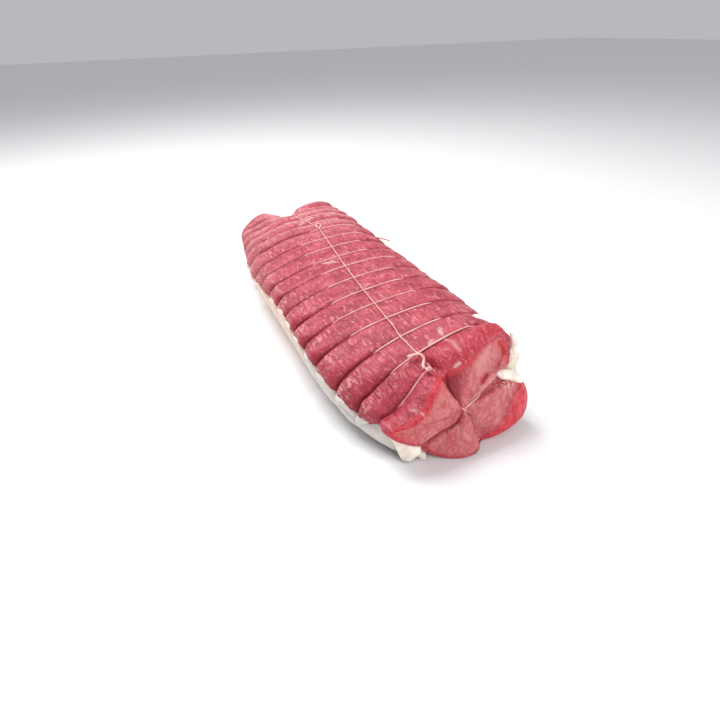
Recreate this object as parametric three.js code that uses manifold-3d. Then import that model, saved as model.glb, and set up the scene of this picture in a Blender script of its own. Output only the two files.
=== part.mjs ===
// A raw rolled beef joint, tied for roasting: one roll of meat on a sheet of white fat that wraps its
// underside and both flanks, sixteen ties of twine round it and a long string along it.
// Millimetres, +Z up, +Y along the roll, with its cut front end at -Y.
//
// Everything hangs on one smooth surface, the string level: the twine lies on it, the meat swells
// above it between the ties, and the fat sheet takes the outer few millimetres where it covers.
// A place on it is (v, lane). v counts the ties along the roll: 1 to 15 are the full ties, 0 is the
// short one behind the front lobes and -1 the rim of the front face. Lanes run along the roll: 1
// follows the top string, 3 the underside string, and 0 (or 4) and 2 the clefts between the lobes
// at the ends, on the right and on the left.

import * as THREE from 'three';
import Module from 'manifold-3d';
import { mergeVertices } from 'three/addons/utils/BufferGeometryUtils.js';

const wasm = await Module();
wasm.setup();

// ---------------------------------------------------------------- driving dimensions
const CENTRE = { x: 8.48, y: 199.63 };        // middle of the footprint, in the drawing frame below
const GROUND = 2.4;                         // height of the string level under the roll
const TIE_Y = [27, 44, 67, 94, 119, 144, 170, 196, 220, 245, 270, 298, 320, 348, 369, 387];
const LAST_TIE = TIE_Y.length - 1;
const FRONT_RIM = -1;
const FAR_RIM = LAST_TIE + 1;

// The roll's section at stations along it: half widths about the spine, top and waist heights,
// how far it leans up to the right, and how square its left and right shoulders are.
const SECTIONS = [
  { y: 46, spine: 6, left: 57, right: 58, top: 63.5, waist: 25, lean: 0.30, squareL: 2.0, squareR: 2.8 },
  { y: 70, spine: 6, left: 64, right: 63, top: 63.5, waist: 29, lean: 0.21, squareL: 2.2, squareR: 2.8 },
  { y: 100, spine: 6, left: 67, right: 67, top: 63.5, waist: 32, lean: 0.14, squareL: 2.4, squareR: 2.8 },
  { y: 270, spine: 6, left: 67, right: 68, top: 63.5, waist: 33, lean: 0.11, squareL: 2.4, squareR: 2.8 },
  { y: 326, spine: 9, left: 64, right: 66, top: 64.0, waist: 33, lean: 0.11, squareL: 2.4, squareR: 3.0 },
  { y: 387, spine: 13, left: 56, right: 60, top: 58.6, waist: 32, lean: 0.12, squareL: 2.5, squareR: 3.8 },
];

// Where the top string runs across the roll, at stations along it.
const TOP_STRING = [
  { y: 44, x: -3.5 }, { y: 67, x: -4.9 }, { y: 80, x: -3.2 }, { y: 94, x: -2.8 }, { y: 144, x: 0.7 },
  { y: 196, x: 5.5 }, { y: 245, x: 11.5 }, { y: 298, x: 17.8 }, { y: 320, x: 14.5 },
  { y: 348, x: 10.5 }, { y: 387, x: 9 },
];
const RIGHT_CLEFT = 18;                     // degrees round the section, from the right
const LEFT_CLEFT = 214;
const UNDER_STRING = 272;

// The rim of the front face, lobe by lobe, anticlockwise from the cleft on the right: [x, z, y].
const RIM = [
  [[53, 46, 18], [54.5, 52.5, 17], [56, 61, 20], [57, 69.5, 25], [47, 72.5, 24], [31, 68.4, 20],
    [24, 65, 19], [16.5, 61, 19], [9.5, 57, 21]],
  [[4, 54, 21], [-2.8, 54.3, 16], [-8.3, 53, 11], [-12.3, 49.6, 8], [-16, 45.6, 5.5],
    [-20, 41.8, 4], [-25.5, 38, 3.5], [-31.5, 35, 4], [-38.5, 32, 7.5], [-42, 28, 10],
    [-37, 22.5, 8], [-28, 17, 6]],
  [[-18, 11.8, 6], [-15.5, 8, 5], [-12, 4.2, 3.5], [-4, 1.2, -0.5], [5.5, 0.9, -5],
    [14.5, 1.6, -6.5], [20.5, 2.3, -4.5]],
  [[25.5, 3.5, 1], [30, 1.8, 3], [37, 1.4, 3], [44, 3, 3], [50, 5.5, 4], [57, 7.5, 5.5],
    [64, 11, 8], [69, 17, 11], [70, 26, 13], [65, 37, 15]],
];
// How far the creases of lanes 0 to 3 bow, and where on the way from the rim to the crossing.
const CREASE_BOWS = [{ x: 0, z: -1.5, peak: 0.5 }, { x: -2.8, z: 1, peak: 0.5 },
  { x: 1, z: -4, peak: 0.65 }, { x: -2.2, z: 0, peak: 0.5 }];
const FRONT_CROSSING = [11, 35, 6];         // where the clefts of the front face meet
const FAR_CROSSING = [13, 31, 401];
// How far the far lobes stand out past the last tie, and the clefts between them.
const FAR_LEFT_LOBE = { reach: 15.5, size: 1.13 };
const FAR_LOBE = { reach: 13, size: 1.06 };
const FAR_CLEFT = { reach: 9.5, size: 0.92 };
const FAR_TOP_CLEFT = { reach: 5, size: 0.68, width: 0.3 };
const FAR_FLARE = 1.2;                      // they flare out late

// How far the meat swells above the string level on each part of the roll.
const SWELL = {
  top: 2, side: 3, under: 4, shoulder: 5.6, fat: 2.1, face: 3.2, neck: 3.4, upperLobe: 4.4,
};
const WIDE_RIDGE = 26;                      // ridges narrower than this are lower in proportion
const FIRST_RIDGE = 17;                     // width of the one between the short tie and tie 1
const KNUCKLE = { height: 1.6, lane: 1.66, width: 0.07 };   // where the ridges overhang the fat
// Lanes over which the lower, smoother fat takes over on the left, and gives way underneath.
const FAT_BAND = { from: 1.7, to: 1.8, fadeFrom: 2.1, fadeTo: 2.4 };
// Each lobe of the front face: how far it stands out, how soon it rises from the rim, as a share of
// the way to the crossing, and from the creases before and after it, in lanes.
const FACE_LOBES = [
  { height: -2.4, rise: 0.2, first: 0.5, last: 0.1 }, { height: 1.4, rise: 0.5, first: 0.1, last: 0.1 },
  { height: 3.2, rise: 0.7, first: 0.2, last: 0.15 }, { height: 4.2, rise: 0.6, first: 0.4, last: 0.25 },
];
const CREASE_DEPTH = 1.2;                   // of the creases between them
// The lip round the right lobe of the front face, and how far in its inner edge lies, by lane.
const LIP = { height: 1.6, first: 3.1, last: 3.8, edge: 0.36 };
// How deep the short tie draws the lobes in: all round, beside the pocket of the top string on the
// left, and, as a share, at the right cleft.
const NECK = {
  depth: 5, besidePocket: 3.2, pocketLane: 1.15, pocketFrom: 0.12, pocketTo: 0.4, rightShare: 0.65, rows: 0.95,
};
const POCKET_DEPTH = 4.6;                   // where the top string dives into the front cleft
const NOTCH = { depth: 6, rows: 1, left: 0.36, right: 0.26 };   // and into the far one, in lanes
const TWINE = 0.8;                          // radius of the twine
const TIE_LIFT = 1.15;                      // centre of a tie above the string level
const SHORT_LIFT = 1.4;                     // and of the short one
const LONG_LIFT = 3;                        // centre of the long string, which passes over the ties
const INNER_LIFT = 2.1;                     // the side string, inside the top one on the faces
const OUTER_LIFT = 3.7;
const UNDER_LIFT = -0.75;                   // under the roll the string passes inside the ties
const UNDER_GROOVE = -2.6;
const GROOVE_ROWS = { first: -1, last: 16 };
const LONG_BED = 1.7;                       // the meat stands no higher than this under it
const CLEARANCE = 0.45;

// The fat sheet spans these rows, from its first lane to a right edge that varies with the row.
const FAT = { side: 4.5, under: 7, edge: 3.6, firstRow: 0.5, lastRow: 11.86, firstLane: 1.76 };
const FAT_EDGE = [{ before: 1.3, lane: 4.14 }, { before: 2, lane: 4.28 },
  { before: Infinity, lane: 4.05 }];
// Its fold stands proud in the right cleft, and its flap hangs to the ground at the left one.
const FOLD = { thickness: 6, proud: 4, firstRow: -1, firstLane: 3.9, lastLane: 4.14 };
const FLAP = { thickness: 3.4, firstRow: -0.7, lastLane: 2.3, lift: 1.9, drop: 26, out: 2, curl: 6 };

// The slack end of the top string, from the knot on tie 1 to the knot on the short tie: [x, z, y].
const CURL = [[-4.3, 62.8, 42.3], [-2.3, 63, 39.5], [-4.3, 63, 35.3], [-7.3, 62.4, 31.2],
  [-7, 61.4, 28.6], [-4, 60.6, 26.5]];
const FAR_CURL = [[21, 69.4, 305], [22, 69.8, 311], [19.5, 69.8, 315], [17, 69.8, 309]];
const LOOSE_TAIL = [[73, 62, 246], [80.5, 60.6, 247]];
const KNOT = { length: 5.2, width: 1.9, height: 1.7 };

const COLOURS = { meat: 0xb8404a, fat: 0xe9e0cf, twine: 0xe8cfc4 };
const MEAT_FLOOR = 0.6;                     // the fat reaches the ground, and the meat just not

// ---------------------------------------------------------------- small helpers
const { lerp, clamp, smoothstep } = THREE.MathUtils;
const radians = THREE.MathUtils.degToRad;
const signedPower = (x, power) => Math.sign(x) * Math.abs(x) ** power;
const vector = ([x, z, y]) => new THREE.Vector3(x, y, z);

// Reads one column of a table of stations at y.
function tableAt(table, y, key) {
  const last = table.length - 1;
  let i = 1;
  while (i < last && table[i].y < y) i++;
  const share = clamp((y - table[i - 1].y) / (table[i].y - table[i - 1].y), 0, 1);
  return lerp(table[i - 1][key], table[i][key], share);
}

// Points at the given fractions of the length of the curve from t0 to t1.
function alongArc(curve, t0, t1, fractions) {
  const STEPS = 96;
  const points = [];
  const reach = [0];
  for (let i = 0; i <= STEPS; i++) points.push(curve(lerp(t0, t1, i / STEPS)));
  for (let i = 1; i <= STEPS; i++) reach.push(reach[i - 1] + points[i].distanceTo(points[i - 1]));
  return fractions.map((fraction) => {
    const target = fraction * reach[STEPS];
    let i = 1;
    while (i < STEPS && reach[i] < target) i++;
    return points[i - 1].clone().lerp(points[i], (target - reach[i - 1]) / (reach[i] - reach[i - 1]));
  });
}

// ---------------------------------------------------------------- lanes and rings
// Each lobe between two clefts has lanes close to the clefts and wider ones between them.
const LOBE_LANES = [
  [0, 0.05, 0.14, 0.28, 0.46, 0.64, 0.82, 0.95],
  [0, 0.05, 0.2, 0.36, 0.52, 0.66, 0.76, 0.94],
  [0, 0.06, 0.3, 0.55, 0.8, 0.94],
  [0, 0.05, 0.22, 0.4, 0.58, 0.75, 0.9],
];
const LANES = LOBE_LANES.flatMap((fractions, lobe) => fractions.map((f) => lobe + f));
const COLUMNS = LANES.length;
const column = (j) => (j + COLUMNS) % COLUMNS;

function sectionAt(y) {
  const section = {};
  for (const key of Object.keys(SECTIONS[0])) section[key] = tableAt(SECTIONS, y, key);
  return section;
}

// A superellipse that leans up to the right and is flat at the string level below.
function barrelCurve(y) {
  const s = sectionAt(y);
  return (t) => {
    const half = Math.cos(t) < 0 ? s.left : s.right;
    const power = 2 / (Math.cos(t) < 0 ? s.squareL : s.squareR);
    const across = half * signedPower(Math.cos(t), power);
    const rise = Math.sin(t) > 0 ? s.top - s.waist : s.waist - GROUND;
    const height = s.waist + rise * signedPower(Math.sin(t), power) - GROUND;
    return new THREE.Vector3(s.spine + across, y, GROUND + height * (1 + s.lean * across / half));
  };
}

function topStringAngle(y) {
  const s = sectionAt(y);
  const offset = tableAt(TOP_STRING, y, 'x') - s.spine;
  const half = offset < 0 ? s.left : s.right;
  const power = (offset < 0 ? s.squareL : s.squareR) / 2;
  return Math.acos(signedPower(offset / half, power));
}

function barrelRing(y) {
  const angles = [radians(RIGHT_CLEFT), topStringAngle(y), radians(LEFT_CLEFT),
    radians(UNDER_STRING), radians(RIGHT_CLEFT + 360)];
  return LOBE_LANES.flatMap((fractions, lobe) =>
    alongArc(barrelCurve(y), angles[lobe], angles[lobe + 1], fractions));
}

function rimRing() {
  const points = RIM.flat().map(vector);
  const curve = new THREE.CatmullRomCurve3(points, true, 'centripetal');
  let start = 0;
  return LOBE_LANES.flatMap((fractions, lobe) => {
    const end = start + RIM[lobe].length;
    const arc = alongArc((t) => curve.getPoint((t / points.length) % 1), start, end, fractions);
    start = end;
    return arc;
  });
}

// 0 at a cleft and 1 across the body of the lobe between two of them.
function pillow(lane, sharpness) {
  const across = Math.abs(2 * (lane - Math.floor(lane)) - 1);
  return (1 - across ** sharpness) ** 0.6;
}

// The same over a bed of even width on each side of the cleft.
const CLEFT_BED = 0.05;
function beddedPillow(lane, sharpness) {
  const across = Math.abs(2 * (lane - Math.floor(lane)) - 1) / (1 - 2 * CLEFT_BED);
  return (1 - Math.min(across, 1) ** sharpness) ** 0.6;
}

function farRing() {
  const y = TIE_Y[LAST_TIE];
  const middle = new THREE.Vector3(FAR_CROSSING[0], y, FAR_CROSSING[1]);
  return barrelRing(y).map((point, j) => {
    const lane = LANES[j];
    const atTop = Math.abs(lane - 1) < 0.5;
    const cleft = atTop ? FAR_TOP_CLEFT : FAR_CLEFT;
    const body = lane > 1 && lane < 2 ? FAR_LEFT_LOBE : FAR_LOBE;
    const share = atTop ? smoothstep(Math.abs(lane - 1), 0, FAR_TOP_CLEFT.width) : pillow(lane, 2.4);
    const rim = middle.clone().lerp(point, lerp(cleft.size, body.size, share));
    rim.y += lerp(cleft.reach, body.reach, share);
    return rim;
  });
}

const FIRST_RING = barrelRing(TIE_Y[1]);
const RIM_RING = rimRing();
const LAST_RING = barrelRing(TIE_Y[LAST_TIE]);
const FAR_RING = farRing();
const FRONT_CENTRE = vector(FRONT_CROSSING);
const FAR_CENTRE = vector(FAR_CROSSING);
const NECK_SHARE = 0.5;                     // the short tie's place between tie 1 and the rim

const blendRings = (from, to, share) => from.map((p, j) => p.clone().lerp(to[j], share));
const shrinkRing = (ring, centre, share) => ring.map((p) => p.clone().lerp(centre, share));

// Distance in lanes from a cleft, below 0 before it.
const beside = (lane, cleft) => ((lane - cleft + 6) % 4) - 2;

// A ring of the front face, the given share of the way from its rim to its crossing.
function faceRing(inward) {
  return shrinkRing(RIM_RING, FRONT_CENTRE, inward).map((point, j) => {
    CREASE_BOWS.forEach(({ x, z, peak }, cleft) => {
      const bow = Math.sin(Math.PI * inward ** (Math.log(0.5) / Math.log(peak)));
      const near = Math.max(1 - Math.abs(beside(LANES[j], cleft)), 0) * bow;
      point.add(new THREE.Vector3(x * near, 0, z * near));
    });
    return point;
  });
}

// The string level at v: one point for each lane.
function levelRing(v) {
  if (v < FRONT_RIM) return faceRing(FRONT_RIM - v);
  if (v < 0) return blendRings(FIRST_RING, RIM_RING, lerp(NECK_SHARE, 1, -v));
  if (v < 1) return blendRings(FIRST_RING, RIM_RING, NECK_SHARE * (1 - v));
  if (v > FAR_RIM) return shrinkRing(FAR_RING, FAR_CENTRE, v - FAR_RIM);
  if (v > LAST_TIE) return blendRings(LAST_RING, FAR_RING, (v - LAST_TIE) ** FAR_FLARE);
  const tie = Math.min(Math.floor(v), LAST_TIE - 1);
  return barrelRing(lerp(TIE_Y[tie], TIE_Y[tie + 1], v - tie));
}

// ---------------------------------------------------------------- rows along the roll
const FACE_ROWS = [-1.9, -1.72, -1.45, -1.12];
const NECK_ROWS = [-1, -0.7, -0.35, -0.16, 0];
const RIDGE_ROWS = [0.14, 0.5, 0.86, 1];
const FAR_ROWS = [15.2, 15.6, 16, 16.12, 16.45, 16.72, 16.9];
const ROWS = [...FACE_ROWS, ...NECK_ROWS];
for (let tie = 0; tie < LAST_TIE; tie++) ROWS.push(...RIDGE_ROWS.map((share) => tie + share));
ROWS.push(...FAR_ROWS);

const LEVEL = ROWS.map(levelRing);
const rowOf = (v) => ROWS.findIndex((row) => Math.abs(row - v) < 1e-6);
const laneOf = (lane) => LANES.findIndex((l) => Math.abs(l - lane % 4) < 1e-6);

// Outward normals of a grid, from its neighbouring points. At the last tie only the ones before
// it count, as the far lobes flare out behind.
const gridNormals = (grid) => grid.map((ring, i) => ring.map((point, j) => {
  const before = i > 0 ? grid[i - 1][j] : FRONT_CENTRE;
  const behind = i < grid.length - 1 ? grid[i + 1][j] : FAR_CENTRE;
  const after = ROWS[i] === LAST_TIE ? point : behind;
  const along = after.clone().sub(before);
  return along.cross(ring[column(j + 1)].clone().sub(ring[column(j - 1)])).normalize();
}));
const NORMALS = gridNormals(LEVEL);

// ---------------------------------------------------------------- swells and hollows
// The short tie holds three lobes. The upper right one, between lanes 0 and 1, stands free of it.
const isHeld = (lane) => lane >= 1 || lane === 0;

const farFaceSwell = (depth, lane) => SWELL.face * beddedPillow(lane, 8)
  * Math.sin(Math.PI * depth) ** 0.6;

// The lobes and creases of the front face fade out at its crossing.
const FADE = { from: 0.98, to: 0.75 };

// How far the front face stands out from the cone between its rim and its crossing.
function frontFaceSwell(inward, lane) {
  const present = 1 - smoothstep(inward, FADE.to, FADE.from);
  const { height, rise, first, last } = FACE_LOBES[Math.floor(lane)];
  const across = lane % 1;
  if (across === 0) return -CREASE_DEPTH * present;
  const sides = smoothstep(across, 0, first) * smoothstep(1 - across, 0, last);
  const fromRim = 1 - (1 - Math.min(inward / rise, 1)) ** 2;
  const lip = lane > LIP.first && lane < LIP.last && inward < LIP.edge ? LIP.height : 0;
  return height * sides * fromRim * present + lip;
}

// 1 where the roll turns from its top to its left side.
const onShoulder = (normal) => smoothstep(-normal.x, 0.3, 0.85) * smoothstep(normal.z, -0.25, 0.35);

function ridgeSwell(v, lane, normal) {
  const across = Math.abs(2 * (v - Math.floor(v)) - 1);
  const shoulder = onShoulder(normal);
  const right = smoothstep(normal.x, 0.3, 0.9) * smoothstep(normal.z, -0.2, 0.4);
  const top = lerp(SWELL.side, SWELL.top, smoothstep(normal.z, 0.2, 0.7));
  const flat = lerp(top, SWELL.under, smoothstep(-normal.z, 0.6, 0.95));
  const tie = Math.floor(v);
  const width = tie > 0 ? TIE_Y[Math.min(tie + 1, LAST_TIE)] - TIE_Y[tie] : FIRST_RIDGE;
  const height = lerp(flat, SWELL.shoulder, Math.max(shoulder, 0.6 * right));
  const knuckle = KNUCKLE.height * Math.exp(-(((lane - KNUCKLE.lane) / KNUCKLE.width) ** 2));
  const round = shoulder * (1 - 0.7 * smoothstep(v, 2, 6));
  const crest = (1 - across ** lerp(5, 3, round)) ** lerp(0.5, 0.6, round);
  const uneven = 1 + 0.14 * Math.sin(2.1 * tie + 2.6 * lane);
  const meat = (height * uneven + knuckle) * crest * Math.min(width / WIDE_RIDGE, 1);
  const onFat = smoothstep(lane, FAT_BAND.from, FAT_BAND.to)
    * (1 - smoothstep(lane, FAT_BAND.fadeFrom, FAT_BAND.fadeTo));
  return lerp(meat, SWELL.fat * crest, onFat);
}

// How far the roll stands above the string level, apart from the beds of the long string.
function swell(v, lane, normal) {
  if (v < FRONT_RIM) return frontFaceSwell(FRONT_RIM - v, lane);
  if (v > FAR_RIM) return farFaceSwell(v - FAR_RIM, lane);
  if (v > LAST_TIE) return SWELL.neck * pillow(lane, 3) * Math.sin(Math.PI * (v - LAST_TIE)) ** 2;
  if (v >= 1) return ridgeSwell(v, lane, normal);
  const lobe = pillow(lane, 4);
  if (!isHeld(lane)) return SWELL.upperLobe * lobe * Math.sin(Math.PI * (v + 1) / 2) ** 1.2;
  if (v > 0) return ridgeSwell(v, lane, normal);
  return SWELL.neck * lobe * Math.sin(Math.PI * (-v) ** 0.7) ** 1.2;
}

// The short tie draws in the lobes that it holds, and the top string dives into a pocket.
function drawnIn(v, lane) {
  const near = 1 - smoothstep(Math.abs(v), 0, NECK.rows);
  if (lane === 1) return POCKET_DEPTH * near;
  if (!isHeld(lane)) return 0;
  if (lane === 0) return NECK.depth * NECK.rightShare * near;
  const apart = smoothstep(Math.abs(lane - NECK.pocketLane), NECK.pocketFrom, NECK.pocketTo);
  return lerp(NECK.besidePocket, NECK.depth, apart) * near;
}

// How far the notch between the far lobes sinks.
function notchDepth(v, lane) {
  const beside = lane > 1 ? (lane - 1) / NOTCH.left : (1 - lane) / NOTCH.right;
  const past = Math.abs(v - LAST_TIE) / NOTCH.rows;
  return NOTCH.depth * (1 - smoothstep(past, 0, 1)) * (1 - smoothstep(beside, 0, 1));
}

// The roll's outer surface above the string level, with the beds of the long string.
function outerHeight(v, lane, normal) {
  const height = swell(v, lane, normal);
  if (lane === 3 && v >= GROOVE_ROWS.first && v <= GROOVE_ROWS.last) return UNDER_GROOVE;
  return Number.isInteger(lane) ? Math.min(height, LONG_BED) : height;
}

function raised(i, j, height) {
  const point = LEVEL[i][j].clone();
  point.z -= notchDepth(ROWS[i], LANES[j]);
  return point.addScaledVector(NORMALS[i][j], height - drawnIn(ROWS[i], LANES[j]));
}

// ---------------------------------------------------------------- where the fat lies
function betweenLanes(j, first, last) {
  const from = laneOf(first);
  const to = laneOf(last) + (last > 4 ? COLUMNS : 0);
  return (j >= from && j <= to) || (j + COLUMNS >= from && j + COLUMNS <= to);
}
const FAT_ROWS = { first: rowOf(FAT.firstRow), last: rowOf(FAT.lastRow) };
const lastFatLane = (i) => FAT_EDGE.find(({ before }) => ROWS[i] < before).lane;
const underSheet = (i, j) => i >= FAT_ROWS.first && i <= FAT_ROWS.last
  && betweenLanes(j, FAT.firstLane, lastFatLane(i));
const underFold = (i, j) => i >= rowOf(FOLD.firstRow) && i < FAT_ROWS.first
  && betweenLanes(j, FOLD.firstLane, FOLD.lastLane);
const underFat = (i, j) => underSheet(i, j) || underFold(i, j);
const inFlap = (i, j) => i >= rowOf(FLAP.firstRow) && i <= FAT_ROWS.first
  && betweenLanes(j, FAT.firstLane, FLAP.lastLane);

function fatThickness(i, j) {
  if (underFold(i, j)) return FOLD.thickness - FOLD.proud;
  const atEdge = j === laneOf(FAT.firstLane) || j === laneOf(lastFatLane(i));
  return atEdge ? FAT.edge : lerp(FAT.side, FAT.under, smoothstep(-NORMALS[i][j].z, 0.5, 0.95));
}

const mapGrid = (make) => ROWS.map((v, i) => LANES.map((lane, j) => make(i, j, v, lane)));

function outerPoint(i, j, floor) {
  const point = raised(i, j, outerHeight(ROWS[i], LANES[j], NORMALS[i][j]));
  point.z = Math.max(point.z, floor);
  return point;
}

// A point of the flap. It lies over the meat and the short tie down to the left cleft, and hangs
// from there.
function flapPoint(i, j, thickness) {
  const hung = Math.max(LANES[j] - 2, 0) / (FLAP.lastLane - 2);
  const over = hung > 0 ? laneOf(2) : j;
  const height = Math.max(swell(ROWS[i], LANES[over], NORMALS[i][over]), FLAP.lift);
  const point = raised(i, over, height + CLEARANCE + thickness);
  point.x += hung * (FLAP.curl * smoothstep(-ROWS[i], 0.3, 0.7) - FLAP.out);
  point.y -= hung * FLAP.out;
  point.z = Math.max(point.z - hung * FLAP.drop, 0);
  return point;
}

// The meat is the outer surface, drawn in under the fat.
const MEAT = mapGrid((i, j, v, lane) => {
  if (!underFat(i, j)) return outerPoint(i, j, MEAT_FLOOR);
  const point = raised(i, j, swell(v, lane, NORMALS[i][j]));
  point.z = Math.max(point.z, 0);
  return point.addScaledVector(NORMALS[i][j], -fatThickness(i, j) - CLEARANCE);
});
const MEAT_NORMALS = gridNormals(MEAT);
const FAT_OUTER = mapGrid((i, j) => {
  if (!underFat(i, j)) return flapPoint(i, j, FLAP.thickness);
  const proud = underFold(i, j) ? FOLD.proud : 0;
  return outerPoint(i, j, 0).addScaledVector(NORMALS[i][j], proud);
});
const FAT_INNER = mapGrid((i, j) => (underFat(i, j)
  ? MEAT[i][j].clone().addScaledVector(MEAT_NORMALS[i][j], CLEARANCE) : flapPoint(i, j, 0)));

const hasCorners = (test, i, j) => [[0, 0], [0, 1], [1, 0], [1, 1]]
  .every(([a, b]) => test(i + a, column(j + b)));
const fatCovers = (i, j) => i < ROWS.length - 1
  && (hasCorners(underFat, i, j) || hasCorners(inFlap, i, j));

// ---------------------------------------------------------------- mesh makers
function meshGeometry(points, triangles) {
  const geometry = new THREE.BufferGeometry();
  const position = new THREE.Float32BufferAttribute(points.flatMap((p) => p.toArray()), 3);
  geometry.setAttribute('position', position);
  geometry.setIndex(triangles.flat());
  return geometry;
}

// A closed body from rings of points with a pole at each end.
function closedBody(rings, firstPole, lastPole) {
  const points = [...rings.flat(), firstPole, lastPole];
  const triangles = [];
  const at = (i, j) => i * COLUMNS + column(j);
  const end = rings.length - 1;
  for (let j = 0; j < COLUMNS; j++) {
    triangles.push([points.length - 2, at(0, j), at(0, j + 1)]);
    triangles.push([points.length - 1, at(end, j + 1), at(end, j)]);
    for (let i = 0; i < end; i++) {
      triangles.push([at(i, j), at(i + 1, j + 1), at(i, j + 1)]);
      triangles.push([at(i, j), at(i + 1, j), at(i + 1, j + 1)]);
    }
  }
  return meshGeometry(points, triangles);
}

// A sheet with two faces, and walls round its edge, over the cells that `covers` picks.
function sheetBody(outer, inner, covers) {
  const points = [];
  const triangles = [];
  const numbers = new Map();
  const number = (grid, i, j) => {
    const point = grid[i][column(j)];
    if (!numbers.has(point)) numbers.set(point, points.push(point) - 1);
    return numbers.get(point);
  };
  const quad = (a, b, c, d) => triangles.push([a, c, b], [a, d, c]);
  const wall = (i0, j0, i1, j1) => quad(number(outer, i0, j0), number(inner, i0, j0),
    number(inner, i1, j1), number(outer, i1, j1));
  for (let i = 0; i < outer.length - 1; i++) {
    for (let j = 0; j < COLUMNS; j++) {
      if (!covers(i, j)) continue;
      const corners = [[i, j], [i, j + 1], [i + 1, j + 1], [i + 1, j]];
      const facing = [corners[0], corners[3], corners[2], corners[1]];
      quad(...corners.map(([a, b]) => number(outer, a, b)));
      quad(...facing.map(([a, b]) => number(inner, a, b)));
      if (i === 0 || !covers(i - 1, j)) wall(i, j, i, j + 1);
      if (!covers(i + 1, j)) wall(i + 1, j + 1, i + 1, j);
      if (!covers(i, column(j - 1))) wall(i + 1, j, i, j);
      if (!covers(i, column(j + 1))) wall(i, j + 1, i + 1, j + 1);
    }
  }
  return meshGeometry(points, triangles);
}

// Three-sided twine, with its edge down in the groove. `path` holds { point, up } pairs.
function twineBody(path, closed) {
  const CORNERS = [[0, -1], [0.87, 0.5], [-0.87, 0.5]];
  const last = path.length - 1;
  const rings = path.map(({ point, up }, i) => {
    const before = closed && i === 0 ? last : Math.max(i - 1, 0);
    const after = closed && i === last ? 0 : Math.min(i + 1, last);
    const side = path[after].point.clone().sub(path[before].point).cross(up).normalize();
    return CORNERS.map(([across, out]) => point.clone()
      .addScaledVector(side, across * TWINE).addScaledVector(up, out * TWINE));
  });
  const triangles = [];
  for (let i = 0; i < (closed ? rings.length : last); i++) {
    const next = ((i + 1) % rings.length) * 3;
    for (let k = 0; k < 3; k++) {
      const here = i * 3 + k;
      const beside = (k + 1) % 3;
      triangles.push([here, next + beside, i * 3 + beside], [here, next + k, next + beside]);
    }
  }
  if (!closed) triangles.push([0, 1, 2], [last * 3, last * 3 + 2, last * 3 + 1]);
  return meshGeometry(rings.flat(), triangles);
}

const UP = new THREE.Vector3(0, 0, 1);
const onRoll = (i, j, lift) => ({ point: raised(i, column(j), lift), up: NORMALS[i][column(j)] });
const lying = (points) => points.map((p) => ({ point: vector(p), up: UP }));

// A knot: a ball of twine drawn out along the tie it sits on, which runs towards `beside`.
function knotBody({ point, up }, beside) {
  const knot = new THREE.SphereGeometry(1, 10, 6);
  knot.scale(KNOT.length, KNOT.width, KNOT.height);
  const across = beside.clone().sub(point).cross(up).normalize();
  const basis = new THREE.Matrix4().makeBasis(across.clone().cross(up), across, up);
  return knot.applyMatrix4(basis.setPosition(point));
}

function toSolid(geometry) {
  const bare = geometry.clone();
  bare.deleteAttribute('normal');
  bare.deleteAttribute('uv');
  const merged = mergeVertices(bare, 1e-4);
  const vertProperties = new Float32Array(merged.attributes.position.array);
  const triVerts = new Uint32Array(merged.index.array);
  return new wasm.Manifold(new wasm.Mesh({ numProp: 3, vertProperties, triVerts }));
}

function joined(geometries) {
  const solid = geometries.map(toSolid).reduce((sum, next) => sum.add(next));
  const { vertProperties, triVerts } = solid.getMesh();
  const geometry = new THREE.BufferGeometry();
  geometry.setAttribute('position', new THREE.Float32BufferAttribute(vertProperties, 3));
  geometry.setIndex(Array.from(triVerts));
  return geometry;
}

// ---------------------------------------------------------------- the joint
const roll = new THREE.Group();
roll.position.set(-CENTRE.x, -CENTRE.y, 0);

function addNode(name, geometry, material) {
  const mesh = new THREE.Mesh(geometry, material);
  mesh.name = name;
  roll.add(mesh);
}

const meatMaterial = new THREE.MeshStandardMaterial({ color: COLOURS.meat, roughness: 0.42 });
const fatMaterial = new THREE.MeshStandardMaterial({ color: COLOURS.fat, roughness: 0.5 });
const twineMaterial = new THREE.MeshStandardMaterial({ color: COLOURS.twine, roughness: 0.8 });

addNode('meat', closedBody(MEAT, FRONT_CENTRE, FAR_CENTRE), meatMaterial);
addNode('bard_fat', sheetBody(FAT_OUTER, FAT_INNER, fatCovers), fatMaterial);

// The short tie runs from its knot on the top string, round the left and under, to the right cleft.
const shortTie = LANES.map((lane, j) => j).filter((j) => LANES[j] > 1 && LANES[j] < FOLD.firstLane);
const shortTiePath = shortTie.map((j) => onRoll(rowOf(0), j, SHORT_LIFT));
addNode('tie_00', twineBody(shortTiePath, false), twineMaterial);

const TAILED = { tie: 9, lane: 0.28 };
const tail = [onRoll(rowOf(TAILED.tie), laneOf(TAILED.lane), TIE_LIFT), ...lying(LOOSE_TAIL)];
for (let tie = 1; tie <= LAST_TIE; tie++) {
  const ring = twineBody(LANES.map((lane, j) => onRoll(rowOf(tie), j, TIE_LIFT)), true);
  const body = tie === TAILED.tie ? joined([ring, twineBody(tail, false)]) : ring;
  addNode(`tie_${String(tie).padStart(2, '0')}`, body, twineMaterial);
}

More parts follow.
